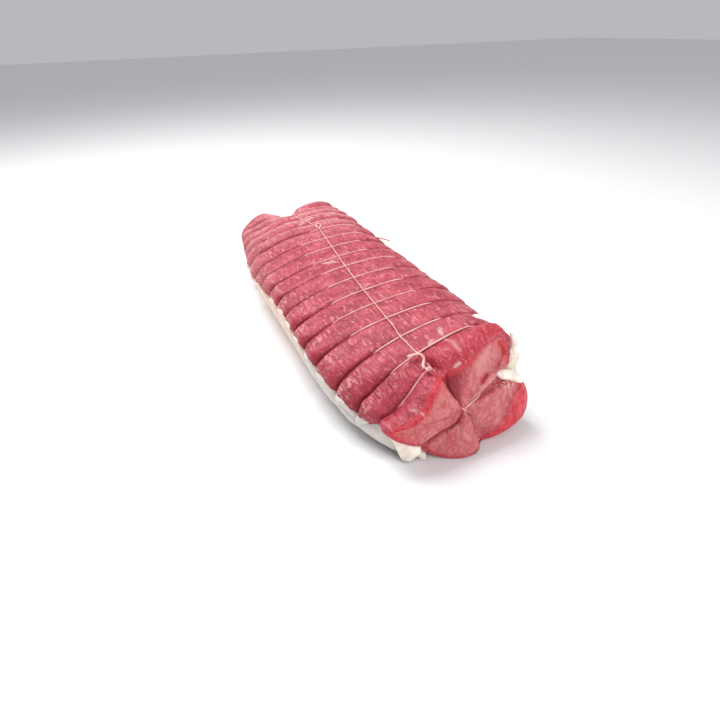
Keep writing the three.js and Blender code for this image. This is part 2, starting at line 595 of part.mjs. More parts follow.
// The top string: along the top from the far notch, through its slack curl, down the front face,
// back under the roll inside the ties, and up the far face.
const rowsOf = (from, to) => ROWS.map((v, i) => i).filter((i) => ROWS[i] >= from && ROWS[i] <= to);
const pole = (centre, side, lift) => ({
  point: centre.clone().add(new THREE.Vector3(0, side * lift, 0)),
  up: new THREE.Vector3(0, side, 0),
});
const along = (rows, lane, lift) => rows.map((i) => onRoll(i, laneOf(lane), lift));
const topString = [
  pole(FAR_CENTRE, 1, OUTER_LIFT),
  ...along(rowsOf(16.12, 16.9).reverse(), 1, OUTER_LIFT),
  ...along(rowsOf(1, 16).reverse(), 1, LONG_LIFT),
  ...lying(CURL),
];
const lowerString = [
  ...along(rowsOf(-1.9, -0.7).reverse(), 1, OUTER_LIFT),
  pole(FRONT_CENTRE, -1, OUTER_LIFT),
  ...along(rowsOf(-1.9, -1.12), 3, OUTER_LIFT),
  ...along(rowsOf(GROOVE_ROWS.first, GROOVE_ROWS.last), 3, UNDER_LIFT),
  ...along(rowsOf(16.12, 16.9), 3, OUTER_LIFT),
];
const KNOT_LIFT = LONG_LIFT + 1;
const FAR_KNOT_TIE = 11;
const knotOn = (tie, lane) => knotBody(onRoll(rowOf(tie), laneOf(lane), KNOT_LIFT),
  onRoll(rowOf(tie), laneOf(lane) + 1, KNOT_LIFT).point);
const farCurl = [onRoll(rowOf(FAR_KNOT_TIE), laneOf(1), KNOT_LIFT), ...lying(FAR_CURL)];
addNode('long_string', joined([
  twineBody([...topString, ...lowerString], true), twineBody(farCurl, false),
  knotOn(1, 1.05), knotOn(FAR_KNOT_TIE, 1), knotBody(lying(CURL).pop(), vector(CURL[0])),
]), twineMaterial);

// What shows of the side string: it crosses each end inside the top string, towards the fat.
function sideString(rows, centre, side) {
  const towards = (lane) => along(rows, lane, INNER_LIFT);
  return [...towards(0), pole(centre, side, INNER_LIFT), ...towards(2).reverse()];
}
const frontString = sideString(rowsOf(-1.9, -1.12).reverse(), FRONT_CENTRE, -1);
const farString = sideString(rowsOf(16.12, 16.9), FAR_CENTRE, 1);
addNode('side_string_front', twineBody(frontString, false), twineMaterial);
addNode('side_string_far', twineBody(farString, false), twineMaterial);

export default roll;
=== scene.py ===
"""A raw rolled beef joint, tied for roasting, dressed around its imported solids.

Every soft piece hangs on the same surface as the solids: the string level, on which the twine lies.
A place on it is (v, lane). v counts the ties along the roll, from -2 at the middle of the front face
and -1 at its rim, past the short tie 0 and the full ties 1 to 15, to 16 at the far rim and 17 at the
middle of the far face. Lanes run along the roll: 1 follows the top string, 3 the underside string,
and 0 (or 4) and 2 the clefts between the lobes, on the right and on the left.
The drawing frame is in millimetres, with its ground at 0. Blender's is in metres.
"""

import itertools
import math

import bpy
import numpy as np
from mathutils import Matrix


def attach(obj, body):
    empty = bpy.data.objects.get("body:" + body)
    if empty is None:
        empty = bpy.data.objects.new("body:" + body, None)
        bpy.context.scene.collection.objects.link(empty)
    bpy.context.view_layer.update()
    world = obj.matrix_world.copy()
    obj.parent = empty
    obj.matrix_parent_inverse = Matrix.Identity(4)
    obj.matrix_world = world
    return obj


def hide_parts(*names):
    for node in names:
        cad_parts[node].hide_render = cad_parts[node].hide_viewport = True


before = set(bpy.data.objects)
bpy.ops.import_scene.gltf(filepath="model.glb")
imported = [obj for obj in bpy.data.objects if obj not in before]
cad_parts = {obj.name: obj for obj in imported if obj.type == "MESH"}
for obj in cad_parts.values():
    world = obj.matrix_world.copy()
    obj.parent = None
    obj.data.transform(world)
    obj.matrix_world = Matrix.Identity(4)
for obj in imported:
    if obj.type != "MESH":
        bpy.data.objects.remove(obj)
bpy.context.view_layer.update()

# ---- the roll's driving dimensions
MM = 0.001
CENTRE = (8.48, 199.63)              # Blender's origin, in the drawing frame
UNDERSIDE = 2.4                      # lowest height of the string level
TIE_Y = (27, 44, 67, 94, 119, 144, 170, 196, 220, 245, 270, 298, 320, 348, 369, 387)
LAST_TIE = len(TIE_Y) - 1

# The roll's section at stations along it, in the order of SECTION_KEYS.
SECTION_KEYS = ("y", "spine", "left", "right", "top", "waist", "lean", "square_left", "square_right")
SECTIONS = np.array([
    (46, 6, 57, 58, 63.5, 25, 0.30, 2.0, 2.8),
    (70, 6, 64, 63, 63.5, 29, 0.21, 2.2, 2.8),
    (100, 6, 67, 67, 63.5, 32, 0.14, 2.4, 2.8),
    (270, 6, 67, 68, 63.5, 33, 0.11, 2.4, 2.8),
    (326, 9, 64, 66, 64.0, 33, 0.11, 2.4, 3.0),
    (387, 13, 56, 60, 58.6, 32, 0.12, 2.5, 3.8),
])
TOP_STRING_Y = (44, 67, 80, 94, 144, 196, 245, 298, 320, 348, 387)
TOP_STRING_X = (-3.5, -4.9, -3.2, -2.8, 0.7, 5.5, 11.5, 17.8, 14.5, 11, 11)
RIGHT_CLEFT, LEFT_CLEFT, UNDER_STRING = 18, 214, 272     # degrees round the section

# The rim of the front face, lobe by lobe, from the cleft on the right: (x, z, y).
RIM = (
    ((53, 46, 18), (54.5, 52.5, 17), (56, 61, 20), (57, 69.5, 25), (47, 72.5, 24), (31, 68.4, 20),
     (24, 65, 19), (16.5, 61, 19), (9.5, 57, 21)),
    ((4, 54, 21), (-2.8, 54.3, 16), (-8.3, 53, 11), (-12.3, 49.6, 8), (-16, 45.6, 5.5),
     (-20, 41.8, 4), (-25.5, 38, 3.5), (-31.5, 35, 4), (-38.5, 32, 7.5), (-42, 28, 10),
     (-37, 22.5, 8), (-28, 17, 6)),
    ((-18, 11.8, 6), (-15.5, 8, 5), (-12, 4.2, 3.5), (-4, 1.2, -0.5), (5.5, 0.9, -5),
     (14.5, 1.6, -6.5), (20.5, 2.3, -4.5)),
    ((25.5, 3.5, 1), (30, 1.8, 3), (37, 1.4, 3), (44, 2.4, 2.6), (51.5, 4, 3), (59.5, 5.6, 4.5),
     (67, 9, 7), (71.5, 16, 10.5), (71, 26, 13), (65, 37, 15)),
)
# How far the creases of lanes 0 to 3 bow: (x, z) and where on the way from rim to crossing.
CREASE_BOWS = ((0, -1.5, 0.5), (-2.8, 1, 0.5), (1.5, -5, 0.8), (-2.2, 0, 0.5))
CREASE_DEPTHS = (0.6, 2.4, 2.0, 2.2)
CREASE_WIDTH = 0.025
FRONT_CROSSING = (11, 35, 6)
FAR_CROSSING = (13, 31, 401)
# Reach past the last tie, and size, of the far end's lobes and clefts.
FAR_LEFT_LOBE, FAR_LOBE = (15.5, 1.13), (13, 1.06)
FAR_CLEFT, FAR_TOP_CLEFT = (9.5, 0.92), (5, 0.68)
FAR_TOP_CLEFT_WIDTH = 0.3            # lanes
# Fullness of the far rim: lane, width in lanes and share.
FAR_SHAPE = ((1.33, 0.17, 0.09), (0.72, 0.14, -0.08), (0.44, 0.1, 0.04))
NECK_SHARE = 0.5                     # the short tie's place between tie 1 and the rim

SWELL_TOP, SWELL_SIDE, SWELL_UNDER, SWELL_SHOULDER = 2.0, 3.0, 4.0, 5.6
RIGHT_SHOULDER = 0.6                 # the right shoulder's share of the left one's swell
SWELL_FAT, FAT_BASE = 1.3, 0.8
SWELL_FAR_RIDGE, SWELL_FAR_SIDE = 1.4, 0.6
FAR_RIDGES = (8.5, 12)               # rows over which the ridges become those of the far end
FAR_SIDE = (1.3, 1.6, 2, 2.5)        # lanes of the far end's left side
UNEVEN = 0.14                        # share by which the ridges differ
FAT_ROWS = (0.5, 11.86)
SWELL_FAR_FACE, SWELL_NECK, SWELL_UPPER_LOBE = 3.2, 3.4, 4.4
SHOULDER_GROOVE = 1.2                # how far the ties are drawn into the left shoulder
# The knob where each ridge turns down on the left: height, lane, half its width, and wander in lanes.
KNUCKLE, KNUCKLE_LANE, KNUCKLE_WIDTH, KNUCKLE_WANDER = 1.5, 1.63, 0.06, 0.02
FAT_BAND = (2.1, 2.4)                # lanes over which the fat's smooth side fades out
# The fat's left edge: (row, lane).
FAT_LEFT_EDGES = ((0.35, 1.79), (0.8, 1.76), (1.8, 1.735), (3, 1.715), (6, 1.7), (7.5, 1.72),
                  (9.8, 1.78))
NECK_DEPTH, NECK_REACH = 5.0, 0.95
NECK_DEPTH_AT_POCKET = 3.2
POCKET_DEPTH, POCKET_WIDTH = 7.0, 0.035
NOTCH_DEPTH, NOTCH_LEFT, NOTCH_RIGHT = 6.0, 0.36, 0.26

# Each lobe of the front face: its height, how soon it rises from the rim (as a share of the way to
# the crossing), and from the creases before and after it (in lanes).
FACE_LOBES = (
    (-2.2, 0.45, 0.5, 0.015),
    (1.4, 0.5, 0.02, 0.05),
    (3.2, 0.7, 0.12, 0.03),
    (4.2, 0.6, 0.4, 0.12),
)
# The red lip round the right lobe: where its inner edge lies, as (lane, share of the way in).
LIP_EDGE = ((3.04, 0.1), (3.18, 0.22), (3.4, 0.36), (3.56, 0.38), (3.7, 0.3), (3.76, 0.18), (3.86, 0))
LIP_HEIGHT = 1.4
# Folds and ridges of the upper lobe's face: (x, z) along each, its height and half its width.
FACE_BAND = ((43.5, 50), (38.5, 47.6), (34.4, 45.4), (31, 43.4), (26.5, 41), (19, 37.8)), 0.8, 2.0
FACE_SLIT = ((28.8, 44.9), (31, 47.1), (33.4, 48.9), (35.6, 50.1)), -1.0, 0.8
FACE_FOLD = ((40, 52.3), (44, 53), (47.5, 56), (50.3, 60.5), (51, 65)), -0.7, 1.0

TWINE, LONG_TWINE = 0.68, 0.55       # radius
TIE_LIFT = 1.0                       # centre of a tie above the string level, on top
LONG_LIFT = 1.8                      # centre of the top string
FACE_LIFT = 1.4
SUNK_LIFT, UNDER_LIFT = -3.6, -1.2
POLE_LIFT, SIDE_POLE_LIFT = 1.3, 0.9  # how far the strings cross in front of the faces' middles
# The lanes between which each tie, from the short one on, lies proud of the meat.
TIE_SHOWS = ((0.9, 1.4), (0.45, 1.25), (0.62, 1.22), (0.56, 1.3), (0.55, 1.36), (0.56, 1.28),
             (0.5, 1.22), (0.3, 1.2), (0.6, 1.22), (0.56, 1.26), (0.34, 1.22), (0.32, 1.06),
             (0.5, 0.95), (0.34, 0.9), (0.34, 0.9), (0.7, 1.6))

# ---- arithmetic helpers
def vector(place):
    x, z, y = place
    return np.array((x, y, z), float)


def smoothstep(value, low, high):
    t = np.clip((value - low) / (high - low), 0, 1)
    return t * t * (3 - 2 * t)


def signed_power(value, power):
    return np.sign(value) * np.abs(value) ** power


def mix(a, b, share):
    return a + (b - a) * share


def bell(value, width):
    """1 at 0, falling away smoothly on both sides."""
    return np.exp(-(value / width) ** 2)


def plateau(value, start, full, fading, end):
    """1 from `full` to `fading`, and 0 before `start` and after `end`."""
    return smoothstep(value, start, full) * (1 - smoothstep(value, fading, end))


def read_off(table, value):
    """The second number of a table's pairs, read off at a value of the first."""
    return np.interp(value, *zip(*table))


def unit(vectors):
    return vectors / np.maximum(np.linalg.norm(vectors, axis=-1, keepdims=True), 1e-9)


def along_arc(points, fractions):
    """Points at the given fractions of the length of a line of points."""
    steps = np.linalg.norm(np.diff(points, axis=0), axis=1)
    reach = np.concatenate([[0], np.cumsum(steps)])
    target = np.asarray(fractions) * reach[-1]
    return np.stack([np.interp(target, reach, points[:, k]) for k in range(3)], axis=1)


def beside(lane, cleft):
    """Signed distance in lanes from a cleft."""
    return (lane - cleft + 2) % 4 - 2


SEED = 7
_random = np.random.default_rng(SEED)
PERMUTATION = _random.permutation(256)
GRADIENTS = unit(_random.normal(size=(256, 3)))


def perlin(points):
    """Gradient noise, about -0.7 to 0.7, at points given in units of its own scale."""
    shape = points.shape[:-1]
    points = points.reshape(-1, 3)
    base = np.floor(points).astype(int)
    inside = points - base
    fade = inside ** 3 * (inside * (inside * 6 - 15) + 10)
    total = np.zeros(len(points))
    for corner in itertools.product((0, 1), repeat=3):
        x, y, z = (base + corner).T & 255
        number = PERMUTATION[(PERMUTATION[(PERMUTATION[x] + y) & 255] + z) & 255]
        slope = ((inside - corner) * GRADIENTS[number]).sum(axis=1)
        total += slope * np.where(corner, fade, 1 - fade).prod(axis=1)
    return total.reshape(shape)


def fractal(points, size, octaves=3):
    """Layered noise whose largest lumps have the given size: a number, or one for each axis."""
    size = np.asarray(size, float)
    return sum(perlin(points / size * 2 ** k + 17.3 * k) / 2 ** k for k in range(octaves))


# ---- the string level
LOBE_COLUMNS = (78, 78, 40, 56)
LANE_CROWDING = 0.45                 # how much closer the lanes lie at the clefts
RIDGE_ROWS = 18
RIDGE_CROWDING = 0.55


def crowded(count, crowding):
    t = np.arange(count) / count
    return t - crowding * np.sin(2 * np.pi * t) / (2 * np.pi)


LANES = np.concatenate([lobe + crowded(n, LANE_CROWDING) for lobe, n in enumerate(LOBE_COLUMNS)])
COLUMNS = len(LANES)
FACE_GRID = -1 - (1 - np.linspace(0, 1, 44)[:-1]) ** 1.25 * 0.985
NECK_GRID = np.concatenate([-1 + crowded(20, 0.4), crowded(18, 0.4)])
RIDGE_GRID = np.concatenate([tie + crowded(RIDGE_ROWS, RIDGE_CROWDING) for tie in range(1, LAST_TIE)])
FAR_GRID = np.concatenate([LAST_TIE + crowded(14, 0.3), LAST_TIE + 1 + np.linspace(0, 0.97, 16)])
ROWS = np.concatenate([FACE_GRID, NECK_GRID, RIDGE_GRID, FAR_GRID])


def section_at(y):
    return {key: np.interp(y, SECTIONS[:, 0], SECTIONS[:, k]) for k, key in enumerate(SECTION_KEYS)}


def barrel_curve(y, t):
    s = section_at(y)
    half = np.where(np.cos(t) < 0, s["left"], s["right"])
    power = 2 / np.where(np.cos(t) < 0, s["square_left"], s["square_right"])
    across = half * signed_power(np.cos(t), power)
    rise = np.where(np.sin(t) > 0, s["top"] - s["waist"], s["waist"] - UNDERSIDE)
    height = s["waist"] + rise * signed_power(np.sin(t), power) - UNDERSIDE
    return np.stack([s["spine"] + across, np.full_like(t, y),
                     UNDERSIDE + height * (1 + s["lean"] * across / half)], axis=1)


def top_string_angle(y):
    s = section_at(y)
    offset = np.interp(y, TOP_STRING_Y, TOP_STRING_X) - s["spine"]
    side = "left" if offset < 0 else "right"
    return math.acos(signed_power(offset / s[side], s["square_" + side] / 2))


def lobe_fractions(lobe):
    return crowded(LOBE_COLUMNS[lobe], LANE_CROWDING)


def barrel_ring(y):
    angles = np.radians([RIGHT_CLEFT, 0, LEFT_CLEFT, UNDER_STRING, RIGHT_CLEFT + 360])
    angles[1] = top_string_angle(y)
    arcs = [along_arc(barrel_curve(y, np.linspace(angles[lobe], angles[lobe + 1], 240)),
                      lobe_fractions(lobe)) for lobe in range(4)]
    return np.concatenate(arcs)


def between(a, b, start, end, t):
    """The point at t on the way from a, at start, to b, at end."""
    return ((end - t) * a + (t - start) * b) / (end - start)


def closed_spline(points, samples):
    """A closed centripetal Catmull-Rom curve, with the given samples for each span."""
    count = len(points)
    spans = []
    for i in range(count):
        level = [points[(i + k) % count] for k in (-1, 0, 1, 2)]
        gaps = [np.linalg.norm(b - a) ** 0.5 for a, b in zip(level, level[1:])]
        knots = np.concatenate([[0], np.cumsum(gaps)])
        t = np.linspace(knots[1], knots[2], samples, endpoint=False)[:, None]
        for order in (1, 2):
            level = [between(a, b, knots[j], knots[j + order], t)
                     for j, (a, b) in enumerate(zip(level, level[1:]))]
        spans.append(between(*level, knots[1], knots[2], t))
    return spans


def rim_ring():
    points = [vector(p) for lobe in RIM for p in lobe]
    spans = closed_spline(points, 24)
    arcs = []
    start = 0
    for lobe, lobe_points in enumerate(RIM):
        end = start + len(lobe_points)
        closing = spans[end % len(points)][:1]
        arcs.append(along_arc(np.concatenate(spans[start:end] + [closing]), lobe_fractions(lobe)))
        start = end
    return np.concatenate(arcs)


def pillow(lane, sharpness, bed=0.0):
    """0 at a cleft, and 1 across the body of the lobe between two of them."""
    across = np.minimum(np.abs(2 * (lane % 1) - 1) / (1 - 2 * bed), 1)
    return (1 - across ** sharpness) ** 0.6


def far_ring():
    y = TIE_Y[LAST_TIE]
    middle = vector(FAR_CROSSING)
    middle[1] = y
    at_top = np.abs(LANES - 1) < 0.5
    on_left = (LANES > 1) & (LANES < 2)
    lobe = pillow(LANES, 2.4)
    lobe = np.where(at_top, smoothstep(np.abs(LANES - 1), 0.03, FAR_TOP_CLEFT_WIDTH), lobe)
    reach, size = (mix(np.where(at_top, top, other), np.where(on_left, left, right), lobe)
                   for top, other, left, right
                   in zip(FAR_TOP_CLEFT, FAR_CLEFT, FAR_LEFT_LOBE, FAR_LOBE))
    size = size + sum(share * bell(LANES - lane, width) for lane, width, share in FAR_SHAPE)
    ring = mix(middle, barrel_ring(y), size[:, None])
    ring[:, 1] += reach
    return ring


FIRST_RING = barrel_ring(TIE_Y[1])
RIM_RING = rim_ring()
LAST_RING = barrel_ring(TIE_Y[LAST_TIE])
FAR_RING = far_ring()
FRONT_CENTRE = vector(FRONT_CROSSING)
FAR_CENTRE = vector(FAR_CROSSING)


def face_ring(inward):
    """A ring of the front face, the given share of the way from its rim to its crossing."""
    ring = mix(RIM_RING, FRONT_CENTRE, inward)
    for lane, (x, z, peak) in enumerate(CREASE_BOWS):
        share = np.sin(np.pi * inward ** (math.log(0.5) / math.log(peak)))
        near = (1 - np.abs(beside(LANES, lane))).clip(0) * share
        ring += near[:, None] * vector((x, z, 0))
    return ring


def level_ring(v):
    if v < -1:
        return face_ring(-1 - v)
    if v < 0:
        return mix(FIRST_RING, RIM_RING, mix(NECK_SHARE, 1, -v))
    if v < 1:
        return mix(FIRST_RING, RIM_RING, NECK_SHARE * (1 - v))
    if v > LAST_TIE + 1:
        return mix(FAR_RING, FAR_CENTRE, v - LAST_TIE - 1)
    if v > LAST_TIE:
        return mix(LAST_RING, FAR_RING, v - LAST_TIE)
    return barrel_ring(np.interp(v, range(LAST_TIE + 1), TIE_Y))


WANDER, WANDER_SIZE = 0.8, 30.0       # how far the ties wander along the roll

LEVEL = np.array([level_ring(v) for v in ROWS])
LEVEL[..., 1] += WANDER * perlin(LEVEL / WANDER_SIZE)


def level_normals():
    before = np.concatenate([FRONT_CENTRE * np.ones((1, COLUMNS, 1)), LEVEL[:-1]])
    after = np.concatenate([LEVEL[1:], FAR_CENTRE * np.ones((1, COLUMNS, 1))])
    last = np.argmin(np.abs(ROWS - LAST_TIE))
    after[last] = LEVEL[last]
    around = np.roll(LEVEL, -1, axis=1) - np.roll(LEVEL, 1, axis=1)
    return unit(np.cross(after - before, around))


NORMALS = level_normals()
V = ROWS[:, None] * np.ones(COLUMNS)
LANE = LANES * np.ones((len(ROWS), 1))


# ---- swells and hollows
def on_shoulder(normal):
    """1 where the roll turns from its top to its left side."""
    return smoothstep(-normal[..., 0], 0.3, 0.85) * smoothstep(normal[..., 2], -0.25, 0.35)


def on_fat_side(v, lane):
    """1 on the smooth left side of the fat sheet."""
    from_edge = lane - read_off(FAT_LEFT_EDGES, v)
    last = FAT_ROWS[1]
    inside = smoothstep(from_edge, 0.01, 0.06) * (1 - smoothstep(lane, *FAT_BAND))
    return inside * (1 - smoothstep(v, last - 0.1, last + 0.3))


def ridge_swell(v, lane, normal):
    """How far the ridges stand out between the ties, and the fat where it covers them."""
    tie, across = np.floor(v), 2 * (v % 1) - 1
    x, _, z = np.moveaxis(normal, -1, 0)
    shoulder = on_shoulder(normal)
    right = smoothstep(x, 0.3, 0.9) * smoothstep(z, -0.2, 0.4)
    height = mix(SWELL_SIDE, SWELL_TOP, smoothstep(z, 0.2, 0.7))
    height = mix(height, SWELL_UNDER, smoothstep(-z, 0.6, 0.95))
    height = mix(height, SWELL_SHOULDER, np.maximum(shoulder, RIGHT_SHOULDER * right))
    knuckle_lane = KNUCKLE_LANE + KNUCKLE_WANDER * np.sin(5 * tie)
    knuckle = KNUCKLE * bell(lane - knuckle_lane, KNUCKLE_WIDTH)
    far = smoothstep(v, *FAR_RIDGES)
    far_side = far * plateau(lane, *FAR_SIDE)
    height = height + SWELL_FAR_RIDGE * far * smoothstep(lane, 1, 1.2) + SWELL_FAR_SIDE * far_side
    roundness = np.maximum(shoulder * (1 - 0.7 * smoothstep(v, 2, 6)), far)
    squareness = mix(mix(5, 2.6, roundness), 1.8, far_side)
    steepness = mix(mix(0.5, 0.65, roundness), 1, far_side)
    crest = (1 - np.abs(across) ** squareness) ** steepness
    uneven = 1 + UNEVEN * np.sin(2.1 * tie + 2.6 * lane)
    groove = SHOULDER_GROOVE * shoulder
    meat = (height * uneven + knuckle + groove) * crest - groove
    return mix(meat, FAT_BASE + SWELL_FAT * crest, on_fat_side(v, lane))


def face_swell(v, lane):
    """How far the front face stands out from the cone between its rim and its crossing."""
    inward = (-1 - v).clip(0, 1)
    lobe = np.floor(lane % 4).astype(int)
    height, rise, first, last = (np.array(column)[lobe] for column in zip(*FACE_LOBES))
    across = lane % 1
    sides = smoothstep(across / first, 0, 1) * smoothstep((1 - across) / last, 0, 1)
    from_rim = 1 - (1 - (inward / rise).clip(0, 1)) ** 2
    at_centre = smoothstep(1 - inward, 0.02, 0.25)
    crease = sum(depth * bell(beside(lane, k), CREASE_WIDTH) for k, depth in enumerate(CREASE_DEPTHS))
    lip = LIP_HEIGHT * lip_share(v, lane) * smoothstep(inward, 0, 0.1)
    return (height * sides * from_rim - crease) * at_centre + lip


def lip_edge(lane):
    """How far in the lip of the right lobe reaches, and 0 on the other lobes."""
    return np.interp(lane, *zip(*LIP_EDGE), left=0, right=0)


def lip_share(v, lane):
    """1 between the rim of the right lobe and the inner edge of its lip."""
    edge = lip_edge(lane)
    return np.where(edge > 0, 1 - smoothstep((-1 - v) / np.maximum(edge, 1e-3), 0.75, 1.05), 0)


def stroke(points, line, width, axes=(0, 2)):
    """1 on a line drawn across the points, seen along the third axis, and 0 beside it and at its ends."""
    flat = points[..., list(axes)]
    line = np.array(line, float)
    nearest = np.full(flat.shape[:-1], np.inf)
    total = len(line) - 1
    for k, (a, b) in enumerate(zip(line, line[1:])):
        along = (((flat - a) @ (b - a)) / ((b - a) @ (b - a))).clip(0, 1)
        gap = np.linalg.norm(flat - a - along[..., None] * (b - a), axis=-1)
        taper = np.minimum((k + along) / total, 1 - (k + along) / total)
        nearest = np.minimum(nearest, gap / (0.35 + 0.65 * smoothstep(taper, 0, 0.2)))
    return bell(nearest, width)


def swell(v, lane, normal):
    """How far the roll stands above the string level."""
    far_face = SWELL_FAR_FACE * pillow(lane, 8, 0.05) * np.sin(np.pi * (v - LAST_TIE - 1).clip(0, 1)) ** 0.6
    far_neck = SWELL_NECK * pillow(lane, 3) * np.sin(np.pi * (v - LAST_TIE).clip(0, 1)) ** 2
    ridge = ridge_swell(v, lane, normal)
    lobe = pillow(lane, 4)
    free = SWELL_UPPER_LOBE * lobe * np.sin(np.pi * ((v + 1) / 2).clip(0, 1)) ** 1.2
    neck = SWELL_NECK * lobe * np.sin(np.pi * (1 - (1 + v).clip(0, 1)) ** 0.7) ** 1.2
    held = np.where(v > 0, ridge, neck)
    front = mix(held, free, is_free(lane))
    height = np.where(v < 1, front, ridge)
    height = np.where(v > LAST_TIE, far_neck, height)
    height = np.where(v > LAST_TIE + 1, far_face, height)
    return np.where(v < -1, face_swell(v, lane), height)


def is_free(lane):
    """1 on the upper right lobe, which the short tie doesn't hold."""
    return smoothstep(beside(lane, 0), -0.02, 0.03) * (1 - smoothstep(beside(lane, 1), -0.03, 0.01))


def drawn_in(v, lane):
    near = 1 - smoothstep(np.abs(v), 0, NECK_REACH)
    beside_pocket = (1 - smoothstep(np.abs(beside(lane, 1) - 0.15), 0.12, 0.4)) * (beside(lane, 1) > 0)
    held = mix(NECK_DEPTH, NECK_DEPTH_AT_POCKET, beside_pocket) * (1 - is_free(lane))
    pocket = (POCKET_DEPTH - NECK_DEPTH / 2) * bell(beside(lane, 1), POCKET_WIDTH)
    return near * np.maximum(held, pocket)


def notch_depth(v, lane):
    side = beside(lane, 1)
    apart = np.where(side > 0, side / NOTCH_LEFT, -side / NOTCH_RIGHT)
    return NOTCH_DEPTH * (1 - smoothstep(np.abs(v - LAST_TIE), 0, 1)) * (1 - smoothstep(apart, 0, 1))


def place(v, lane, height):
    """Points at the given height over the string level, where the joint's own hollows allow."""
    v, lane, height = np.broadcast_arrays(np.asarray(v, float), np.asarray(lane, float) % 4, height)
    i = np.interp(v, ROWS, np.arange(len(ROWS)))
    j = np.interp(lane, np.append(LANES, 4), np.arange(COLUMNS + 1))
    i0 = np.minimum(i.astype(int), len(ROWS) - 2)
    j0 = j.astype(int) % COLUMNS
    a, b = (i - i0)[..., None], (j % COLUMNS - j0)[..., None]

    def sample(grid):
        near = mix(grid[i0, j0], grid[i0, (j0 + 1) % COLUMNS], b)
        far = mix(grid[i0 + 1, j0], grid[i0 + 1, (j0 + 1) % COLUMNS], b)
        return mix(near, far, a)

    points = sample(LEVEL) + unit(sample(NORMALS)) * (height - drawn_in(v, lane))[..., None]
    points[..., 2] -= notch_depth(v, lane)
    return points


# ---- where the fat lies
FAT_SCALLOP = 0.01                   # lanes by which the fat's left edge wavers from tie to tie
# The fat's right edge, on the lanes past the underside: (row, lane).
FAT_RIGHT_EDGES = ((-1.0, 4.14), (1.2, 4.14), (1.5, 4.25), (1.8, 4.25), (2.1, 4.05), (LAST_TIE, 4.05))
FOLD_FIRST_LANE, FOLD_PROUD = 3.9, 4.0
# The loose leaf at the front left corner, row by row from under the meat to the ground: (x, z, y).
LEAF = (
    ((-43, 28.5, 12.5), (-36.5, 23.5, 12), (-30.5, 18, 11), (-25, 13.5, 10), (-18.5, 11, 9)),
    ((-39, 20.1, 13.5), (-34, 16, 11.5), (-29, 12.3, 9.5), (-24, 10, 8.6), (-18.6, 8.8, 8.2)),
    ((-35.2, 10.2, 12.5), (-31.5, 8, 9.8), (-28, 6.5, 8), (-23.5, 6.5, 7.6), (-18.7, 6.5, 7.9)),
    ((-32.3, 1.8, 9.9), (-28.6, 1.6, 7.1), (-25.8, 1.6, 7.2), (-22.6, 3, 7.6), (-18.9, 4.7, 7.8)),
)
BACK_LEAF = (
    ((-19, 11, 12), (-16, 9, 11), (-13.5, 7, 10)),
    ((-19.5, 6.5, 12), (-16.5, 4.6, 10.5), (-13.8, 3.6, 9.5)),
    ((-21.5, 1.6, 8.5), (-18.2, 1.4, 4.2), (-15.4, 2.4, 6.4)),
)
# The sheet's slack side behind it, hanging from under the fingers.
SIDE_LEAF = (
    ((-52, 27, 62), (-49.5, 25.5, 50), (-47, 24.5, 42), (-43.5, 23.5, 34), (-39.5, 23, 26),
     (-35.5, 20.5, 16)),
    ((-57, 22, 62), (-54, 18.5, 51), (-50, 17, 43), (-46.5, 15.5, 35.5), (-42, 14.3, 27),
     (-35, 13, 17)),
    ((-54.5, 14, 64), (-51, 10, 52.4), (-46, 7.5, 43.6), (-42, 4.5, 36.6), (-37.4, 4.4, 26),
     (-32.5, 3.8, 18)),
)
LEAF_THICKNESS = 2.4
# Folds of the sheet that bulge out on the right: (x, z, y) and radius.
RIGHT_FOLD = ((58, 71.5, 25.5, 1.2), (60.2, 67.5, 25, 2.1), (61.6, 63.5, 24, 2.5), (61.4, 57, 24, 2.3),
              (64, 51.5, 23.2, 3.3), (62, 45.8, 22, 3.3), (55.5, 44.6, 20, 2.9), (46.5, 45.4, 17, 2.2))
CLEFT_FOLD = ((41.5, 48.8, 14.5, 2.8), (47, 46.6, 14, 3.7), (52.4, 44.6, 14, 3.9), (58.2, 41, 14, 3.8),
              (63.8, 36.4, 14.5, 3.0), (67, 32.6, 15, 1.4))
FAT_SIDE, FAT_UNDER, FAT_RIM = 4.5, 7.0, 3.6    # thickness
FAT_RIM_SLOPE = 0.4                  # how fast it grows thicker, inwards from its rim
FAT_TUCK = 2.4                       # how far its edge reaches in under the meat's surface
FAT_THINNEST = 0.8
CLEARANCE, MEAT_FLOOR = 0.2, 0.6

FAT_RIGHT_LANE = read_off(FAT_RIGHT_EDGES, ROWS)[:, None]
FAT_LEFT_LANE = (read_off(FAT_LEFT_EDGES, ROWS) + FAT_SCALLOP * np.cos(2 * np.pi * ROWS))[:, None]
RIGHT_SIDE_LANE = np.where(LANE < 0.5, LANE + 4, LANE)


def edge_distance():
    """Millimetres in from the nearest edge of the fat sheet, and below 0 outside it."""
    per_lane = np.linalg.norm(np.roll(LEVEL, -1, axis=1) - LEVEL, axis=2)
    widths = np.roll(LANES, -1) - LANES
    widths[-1] += 4
    per_lane = per_lane / widths
    per_row = np.linalg.norm(np.gradient(LEVEL, axis=0), axis=2) / np.gradient(ROWS)[:, None]
    first_row = np.where(RIGHT_SIDE_LANE > FOLD_FIRST_LANE, -1.0, FAT_ROWS[0])
    return np.minimum.reduce([
        (RIGHT_SIDE_LANE - FAT_LEFT_LANE) * per_lane,
        (FAT_RIGHT_LANE - RIGHT_SIDE_LANE) * per_lane,
        (V - first_row) * per_row,
        (FAT_ROWS[1] - V) * per_row,
    ])


FAT_INSIDE = edge_distance()
IN_FOLD = ((V < FAT_ROWS[0]) & (RIGHT_SIDE_LANE > FOLD_FIRST_LANE) & (FAT_INSIDE >= 0)).astype(float)


